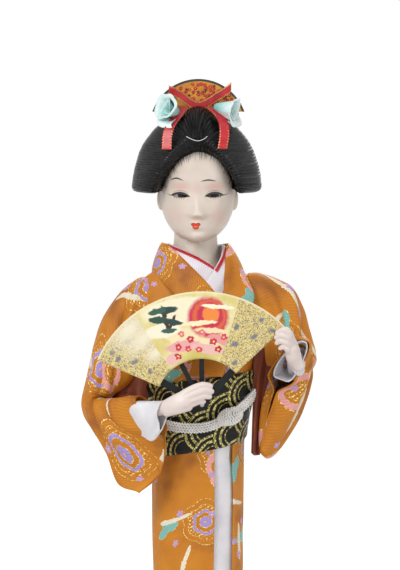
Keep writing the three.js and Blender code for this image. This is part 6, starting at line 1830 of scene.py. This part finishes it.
def painted_leaf():
    """Printed paper: fields by the angle round the pivot, and brush spots by place."""
    made, tree, shader = finish("printed_mulberry_paper", Roughness=0.6, Sheen_Weight=0.05)
    place = add(tree, "TexCoord", out=3)
    off = add(tree, "VectorMath", (place, (0, 0, FAN_PIVOT_Z * MM)), operation="SUBTRACT")
    off = add(tree, "VectorMath", (off, (1, 0, 1)), operation="MULTIPLY")
    fray = add(tree, "TexNoise", {"Vector": off, "Scale": 420, "Detail": 3}, out=1)
    fray = add(tree, "VectorMath", (fray, (0.5, 0.5, 0.5)), operation="SUBTRACT")
    frayed = add(tree, "VectorMath", (fray, (0.0022, 0, 0.0022), off), operation="MULTIPLY_ADD")
    reach = add(tree, "VectorMath", (off,), operation="LENGTH", out=1)
    axes = add(tree, "SeparateXYZ", (off,), out=None)
    degrees = add(tree, "Math", (axes.outputs[2], axes.outputs[0]), operation="ARCTAN2")
    degrees = add(tree, "Math", (degrees, 180 / math.pi), operation="MULTIPLY")
    mist = add(tree, "TexNoise", {"Vector": off, "Scale": 60, "Detail": 4})
    colour = add(tree, "ValToRGB", (mist,), stops=[(0.34, "CDBB62"), (0.5, "DCCE84"), (0.66, "EFE3B4")])

    def spot(colour, out_mm, turn_at, half_wide, half_high, turn, ink, edge=0.06):
        a = math.radians(turn_at)
        centre = (out_mm * math.cos(a) * MM, 0, out_mm * math.sin(a) * MM)
        away = add(tree, "VectorMath", (frayed, centre), operation="SUBTRACT")
        turned = add(tree, "VectorRotate", {"Vector": away, "Angle": math.radians(turn)}, rotation_type="Y_AXIS")
        flat = add(tree, "VectorMath", (turned, (1 / half_wide / MM, 0, 1 / half_high / MM)), operation="MULTIPLY")
        size = add(tree, "VectorMath", (flat,), operation="LENGTH", out=1)
        cover = add(tree, "MapRange", {"Value": size, "From Min": 1 + edge, "From Max": 1 - edge})
        return add(tree, "Mix", {0: cover, 6: colour, 7: linear(ink)}, out=2, data_type="RGBA")

    for out_mm, turn_at, half_wide, half_high, turn, ink in LEAF_SPOTS:
        colour = spot(colour, out_mm, turn_at, half_wide, half_high, turn, ink, edge=0.1)
    for k, (out_mm, turn_at, ink) in enumerate(BLOSSOM_SPOTS):
        for petal in range(5):
            a = 2 * math.pi * petal / 5 + k
            x = out_mm * math.cos(math.radians(turn_at)) + 1.0 * math.cos(a)
            z = out_mm * math.sin(math.radians(turn_at)) + 1.0 * math.sin(a)
            colour = spot(colour, math.hypot(x, z), math.degrees(math.atan2(z, x)), 0.72, 0.72, 0, ink)
        colour = spot(colour, out_mm, turn_at, 0.5, 0.5, 0, "F2D27A")
    grain = add(tree, "TexVoronoi", {"Vector": place, "Scale": 2300}, out=None)
    fleck = add(tree, "SeparateColor", (grain.outputs["Color"],), out=None)
    sand = add(tree, "ValToRGB", (fleck.outputs[0],),
               stops=[(0.0, "C2AC66"), (0.25, "D6C07C"), (0.6, "E4D498"), (0.82, "77746E")])
    sand.node.color_ramp.interpolation = "CONSTANT"
    for k, (out_mm, turn_at, turn) in enumerate(SILVER_SPOTS):
        sand = spot(sand, out_mm, turn_at, 1.4 + 0.3 * (k % 3), 1.0, turn, "77777F", edge=0.35)
    for out_mm, turn_at, half_wide, half_high in ((51, 134, 9, 4.5), (43, 131, 9, 4), (34, 131, 5, 3)):
        sand = spot(sand, out_mm, turn_at, half_wide, half_high, 46, "EDE3C8", edge=0.75)
    lean = add(tree, "Math", (reach, 82.0, 66.2), operation="MULTIPLY_ADD")
    right_field = add(tree, "MapRange", {"Value": add(tree, "Math", (degrees, lean), operation="SUBTRACT"),
                                         "From Min": 0.25, "From Max": -0.25})
    lean = add(tree, "Math", (reach, -137.0, 133.6), operation="MULTIPLY_ADD")
    left_field = add(tree, "MapRange", {"Value": add(tree, "Math", (degrees, lean), operation="SUBTRACT"),
                                        "From Min": -0.25, "From Max": 0.25})
    sides = add(tree, "Math", (right_field, left_field), operation="MAXIMUM")
    colour = add(tree, "Mix", {0: sides, 6: colour, 7: sand}, out=2, data_type="RGBA")
    fibre = add(tree, "TexNoise", {"Vector": place, "Scale": 2600, "Detail": 2})
    # the paper's colour is darker in the hollows of its fibre relief: painted shade
    painted_hollow_shade = add(tree, "Math", (fibre, 0.16, 0.9), operation="MULTIPLY_ADD")
    colour = add(tree, "Mix", {0: 1.0, 6: colour, 7: painted_hollow_shade}, out=2, data_type="RGBA", blend_type="MULTIPLY")
    edge = add(tree, "MapRange", {"Value": reach, "From Min": 0.0546, "From Max": 0.0549})
    colour = add(tree, "Mix", {0: edge, 6: colour, 7: linear("E9DDB4")}, out=2, data_type="RGBA")
    wire(tree, shader, Base_Color=colour)
    relief(tree, shader, fibre, 0.3, 0.00008)
    print("brush spots on the leaf:", len(LEAF_SPOTS) + 6 * len(BLOSSOM_SPOTS) + len(SILVER_SPOTS))
    return made


leaf_paper = painted_leaf()
LEAF_INNER, LEAF_OUTER, LEAF_RIGHT, LEAF_LEFT, LEAF_Y = 22.6, 55.5, 43.4, 156.6, -46.6


def leaf_points(u, v):
    """The leaf as a thin ring sector, a little waved between the sticks, with a soft turn at its rim."""
    a = np.radians(LEAF_RIGHT + (LEAF_LEFT - LEAF_RIGHT) * u)
    reach = LEAF_INNER + (LEAF_OUTER - LEAF_INNER) * v
    y = LEAF_Y + 0.05 * np.sin(u * 40) * v
    return np.stack([reach * np.cos(a), y, FAN_PIVOT_Z + reach * np.sin(a)], axis=-1)


leaf = surface("printed_fan_leaf", grid(leaf_points, 120, 24), leaf_paper, thickness=0.3, flip=True)

# %% [markdown]
# ## Finishes of the frame's own solids
# Solids whose shape is right keep it and only get their finish: the fan's sticks and rivet, the comb's plate, the
# lacquered board with its felt pads, the steel post and flange, the pins, and the dowels inside.

# %% Finishes by node
FINISHES = [
    (black_plastic, ["fan_guard_left", "fan_guard_right", "fan_rib_1", "fan_rib_2"]),
    (drawn_steel, ["fan_rivet", "stand_post", "post_flange", "hairpin_right", "hairpin_left"]),
    (gilt, ["comb"]), (lacquer, ["stand_board"]), (felt, [f"felt_pad_{k}" for k in (1, 2, 3, 4)]),
    (dowel_wood, ["leg_dowel_right", "leg_dowel_left", "neck_dowel"]), (grey_card, ["skirt_cone"]),
]
for material, names in FINISHES:
    for name in names:
        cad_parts[name].data.materials[0] = material
print("finished nodes:", sum(len(names) for _, names in FINISHES))

# %% [markdown]
# ## Feet
# The feet are split-toed white socks on lacquered sandals. The sock is cast like the hands, from an instep, a big
# toe set apart and a bundle of the small toes, so the cleft shows. A sandal is a rounded sole with a woven straw
# top and a red thong of two straps, which meet in the cleft.

# %% Socks and sandals
FEET_X = {"right": -9.8, "left": 6.6}
socks, sandals, thongs = {}, {}, {}
for side, x in FEET_X.items():
    inner = 1 if side == "right" else -1
    sock = [
        ([(x, -1, 27.2, 5.0), (x, -0.6, 33, 4.5), (x, 0, 38.5, 4.4)], 1),
        ([(x, 0.4, 25.2, 4.4), (x, -8, 25.0, 5.2), (x, -18, 23.8, 4.6), (x - inner * 0.6, -26, 22.9, 3.5)], 1),
        ([(x + inner * 2.2, -19, 22.9, 3.2), (x + inner * 2.6, -28, 22.2, 2.3),
          (x + inner * 2.4, -34.6, 21.8, 1.9)], 1),
        ([(x - inner * 1.6, -18, 22.8, 3.3), (x - inner * 2.2, -27, 22.1, 2.5),
          (x - inner * 2.0, -32.4, 21.7, 2.0)], 1),
    ]
    socks[side] = cast(f"split_toed_sock_{side}", sock, white_cotton, voxel=0.4)

    def sole(u, v):
        a = 2 * np.pi * u
        round_in = 1 - 0.12 * (2 * v - 1) ** 6
        wide = (6.5 + 0.35 * np.sin(a + 0.5)) * round_in
        return np.stack([x + wide * np.cos(a) * (1 - 0.06 * np.sin(a)), -17 + 22.8 * round_in * np.sin(a),
                         16.2 + 3.0 * v + 0 * u], axis=-1)

    body = surface("sole", grid(sole, 64, 10), lacquer, caps=True, flip=True)
    mat = surface("mat", grid(lambda u, v: np.stack([
        x + 6.0 * (1 - v) * np.cos(2 * np.pi * u), -17 + 22.2 * (1 - v) * np.sin(2 * np.pi * u),
        19.2 + 0.3 * np.sqrt(np.clip(v * 2, 0, 1))], axis=-1), 64, 12), wood_wool)
    sandals[side] = join([body, mat], f"sandal_{side}")
    strap = [
        ([(x + inner * 0.2, -31.4, 20.4, 0.55), (x + inner * 0.3, -29.4, 24.4, 0.7),
          (x + inner * 4.4, -20.6, 27.0, 0.8), (x + inner * 5.6, -12.6, 23.4, 0.7),
          (x + inner * 5.5, -9.4, 19.8, 0.6)], 1),
        ([(x + inner * 0.2, -31.4, 20.4, 0.55), (x - inner * 0.2, -29.4, 24.4, 0.7),
          (x - inner * 4.4, -20.6, 27.0, 0.8), (x - inner * 5.6, -12.6, 23.4, 0.7),
          (x - inner * 5.5, -9.4, 19.8, 0.6)], 1),
    ]
    thongs[side] = cast(f"sandal_thong_{side}", strap, red_satin, voxel=0.3)
print("sock faces:", len(socks["right"].data.polygons))

# %% [markdown]
# ## Body under the clothes
# The trunk is wood wool bound with thread, as wide as the figure less its clothes. Its unevenness is a ripple, and
# the winding is a fine spiral groove. Between the body and the sleeves two narrow drapes of the inner kimono cloth
# hang from the armpits, coloured a dark rust as painted shade for the deep shade there.

# %% Trunk and inner drapes


def trunk_points(u, v):
    turn = 2 * np.pi * u
    z = 231 + 69 * v
    close = np.sqrt(np.clip(np.minimum(v, 1 - v) / 0.06, 0, 1))
    point = around(z, turn, -5.2 + 0.25 * ripple(turn * 18, z, 61, 9) + 0.1 * np.sin(z * 4 + turn))
    centre = np.stack([-1.6 + 0 * z, 0 * z, z], axis=-1)
    return centre + (point - centre) * (0.55 + 0.45 * close)[..., None]


trunk = surface("bound_trunk", grid(trunk_points, 90, 120), wood_wool, caps=True, flip=True)

DRAPES = {
    # top and bottom lines of the drape: from the sleeve's side to the body's side
    "right": ([(-44, -6, 258), (-36, -10, 259), (-27, -13, 260)], [(-45, -8, 240), (-37, -13, 237), (-27, -15, 238)]),
    "left": ([(26, -16, 268), (31, -14.5, 268), (37, -12, 266)],
             [(24.4, -16.5, 214), (27.2, -15.4, 212.6), (29.6, -13.4, 214)]),
}
drapes = {}
for side, (top, foot) in DRAPES.items():

    def drape_points(u, v):
        upper, lower = path(top, u), path(foot, u)
        place = upper + (lower - upper) * v[..., None]
        folds = 1.5 * np.sin(u * 11 + 1.2 * np.sin(v * 3) + v * 2) * (0.4 + 0.6 * v)
        place[..., 1] += folds + 0.5 * ripple(u * 20, v * 30, 62, 12)
        return place

    drapes[side] = surface(f"inner_drape_{side}", grid(drape_points, 60, 90), painted_shade_silk, thickness=0.5, flip=True)

# %% [markdown]
# ## Bodies
# Each piece rides on the body that moves it, and stands for the nodes of the frame that it replaces.

# %% Bodies for the cloth
keep(skirt, "doll", "orange_brocade", "kimono_skirt")
keep(under, "doll", "white_cotton", "under_skirt")
keep(bodice, "doll", "orange_brocade", "kimono_bodice")
for side in ("right", "left"):
    keep(sleeves[side], "doll", "orange_brocade", f"sleeve_{side}")
    keep(linings[side], "doll", "white_cotton", f"under_sleeve_{side}")
keep(head, "head", "painted_face", "head")
for side in ("right", "left"):
    keep(eyes[side], "head", "eye_glass", f"eye_{side}")
for piece in (lash_lines, fine_hairs, brow_lines):
    keep(piece, "head", "painted_face")
keep(kimono_collar, "doll", "orange_brocade", "kimono_collar")
keep(white_collar, "doll", "white_cotton", "under_collar")
keep(piping, "doll", "red_satin", "collar_piping")
keep(sash, "doll", "black_brocade", "obi")
keep(sash_box, "doll", "black_brocade", "obi_drum")
keep(pad, "doll", "red_satin")
keep(sash_tail, "doll", "black_brocade", "obi_tail")
keep(cord, "doll", "white_braid", "obi_cord")
keep(cord_knot, "doll", "white_braid", "obi_cord_knot")
keep(wings, "head", "black_hair_fibre", "hair_front", "hair_side_right", "hair_side_left")
keep(nape, "head", "black_hair_fibre", "hair_back")
keep(bun, "head", "black_hair_fibre", "hair_bun")
for piece in fibres:
    keep(piece, "head", "black_hair_fibre")
keep(tie, "head", "white_braid")
for piece, node in zip(ribbons, ("ribbon_band", "ribbon_tail_right", "ribbon_tail_left")):
    keep(piece, "head", "red_satin", node)
for piece in stitches:
    keep(piece, "head", "red_satin")
for side, rose in roses.items():
    keep(rose, f"flower_{side}", "mint_ribbon", f"rosette_{side}")
for piece in (comb_sprigs, comb_blossoms, comb_hearts):
    keep(piece, "head", "gilt_comb")
for side in ("right", "left"):
    keep(hands[side], "doll", "painted_face", f"hand_{side}")
    keep(arms[side], "doll", "wood_wool", f"arm_{side}")
    keep(socks[side], "doll", "white_cotton", f"sock_{side}")
    keep(sandals[side], "doll", "black_lacquered_wood", f"sandal_{side}")
    keep(thongs[side], "doll", "red_satin")
    keep(drapes[side], "doll", "orange_brocade")
keep(trunk, "doll", "wood_wool", "trunk_core")
keep(leaf, "fan", "fan_paper", "fan_leaf")

# %% [markdown]
# ## What is cloth
# Each sheet's size before it was dressed and how it is held are printed. The cut size is read from the piece's own
# UV map, which is in metres. Ribbons, roses and piping are narrower than a centimetre, so they count as trimmings
# and not as sheets.

# %% Sheets


def cut(piece):
    """Width and length of a sheet as it was cut, from its UV map."""
    uv = np.empty(len(piece.data.loops) * 2, dtype=np.float32)
    piece.data.uv_layers["cloth"].data.foreach_get("uv", uv)
    size = np.ptp(uv.reshape(-1, 2), axis=0)
    return tuple(round(float(s), 3) for s in size)


SHEETS = [
    (skirt, "hung"), (under, "hung"), (bodice, "draped"), (sleeves["right"], "hung"), (sleeves["left"], "hung"),
    (linings["right"], "draped"), (linings["left"], "draped"), (kimono_collar, "folded"), (white_collar, "folded"),
    (sash, "stretched"), (sash_box, "folded"), (sash_tail, "hung"), (drapes["right"], "hung"), (drapes["left"], "hung"),
]
for piece, held in SHEETS:
    flat = cut(piece)
    print(f"{piece.name}: cut {flat[0] * 1000:.0f} x {flat[1] * 1000:.0f} mm, {held}")
print("rose strips, mm:", [[round(s * 1000, 1) for s in cut(rose)] for rose in roses.values()])

print("pieces:", len(pieces), "faces:", sum(pieces.values()))
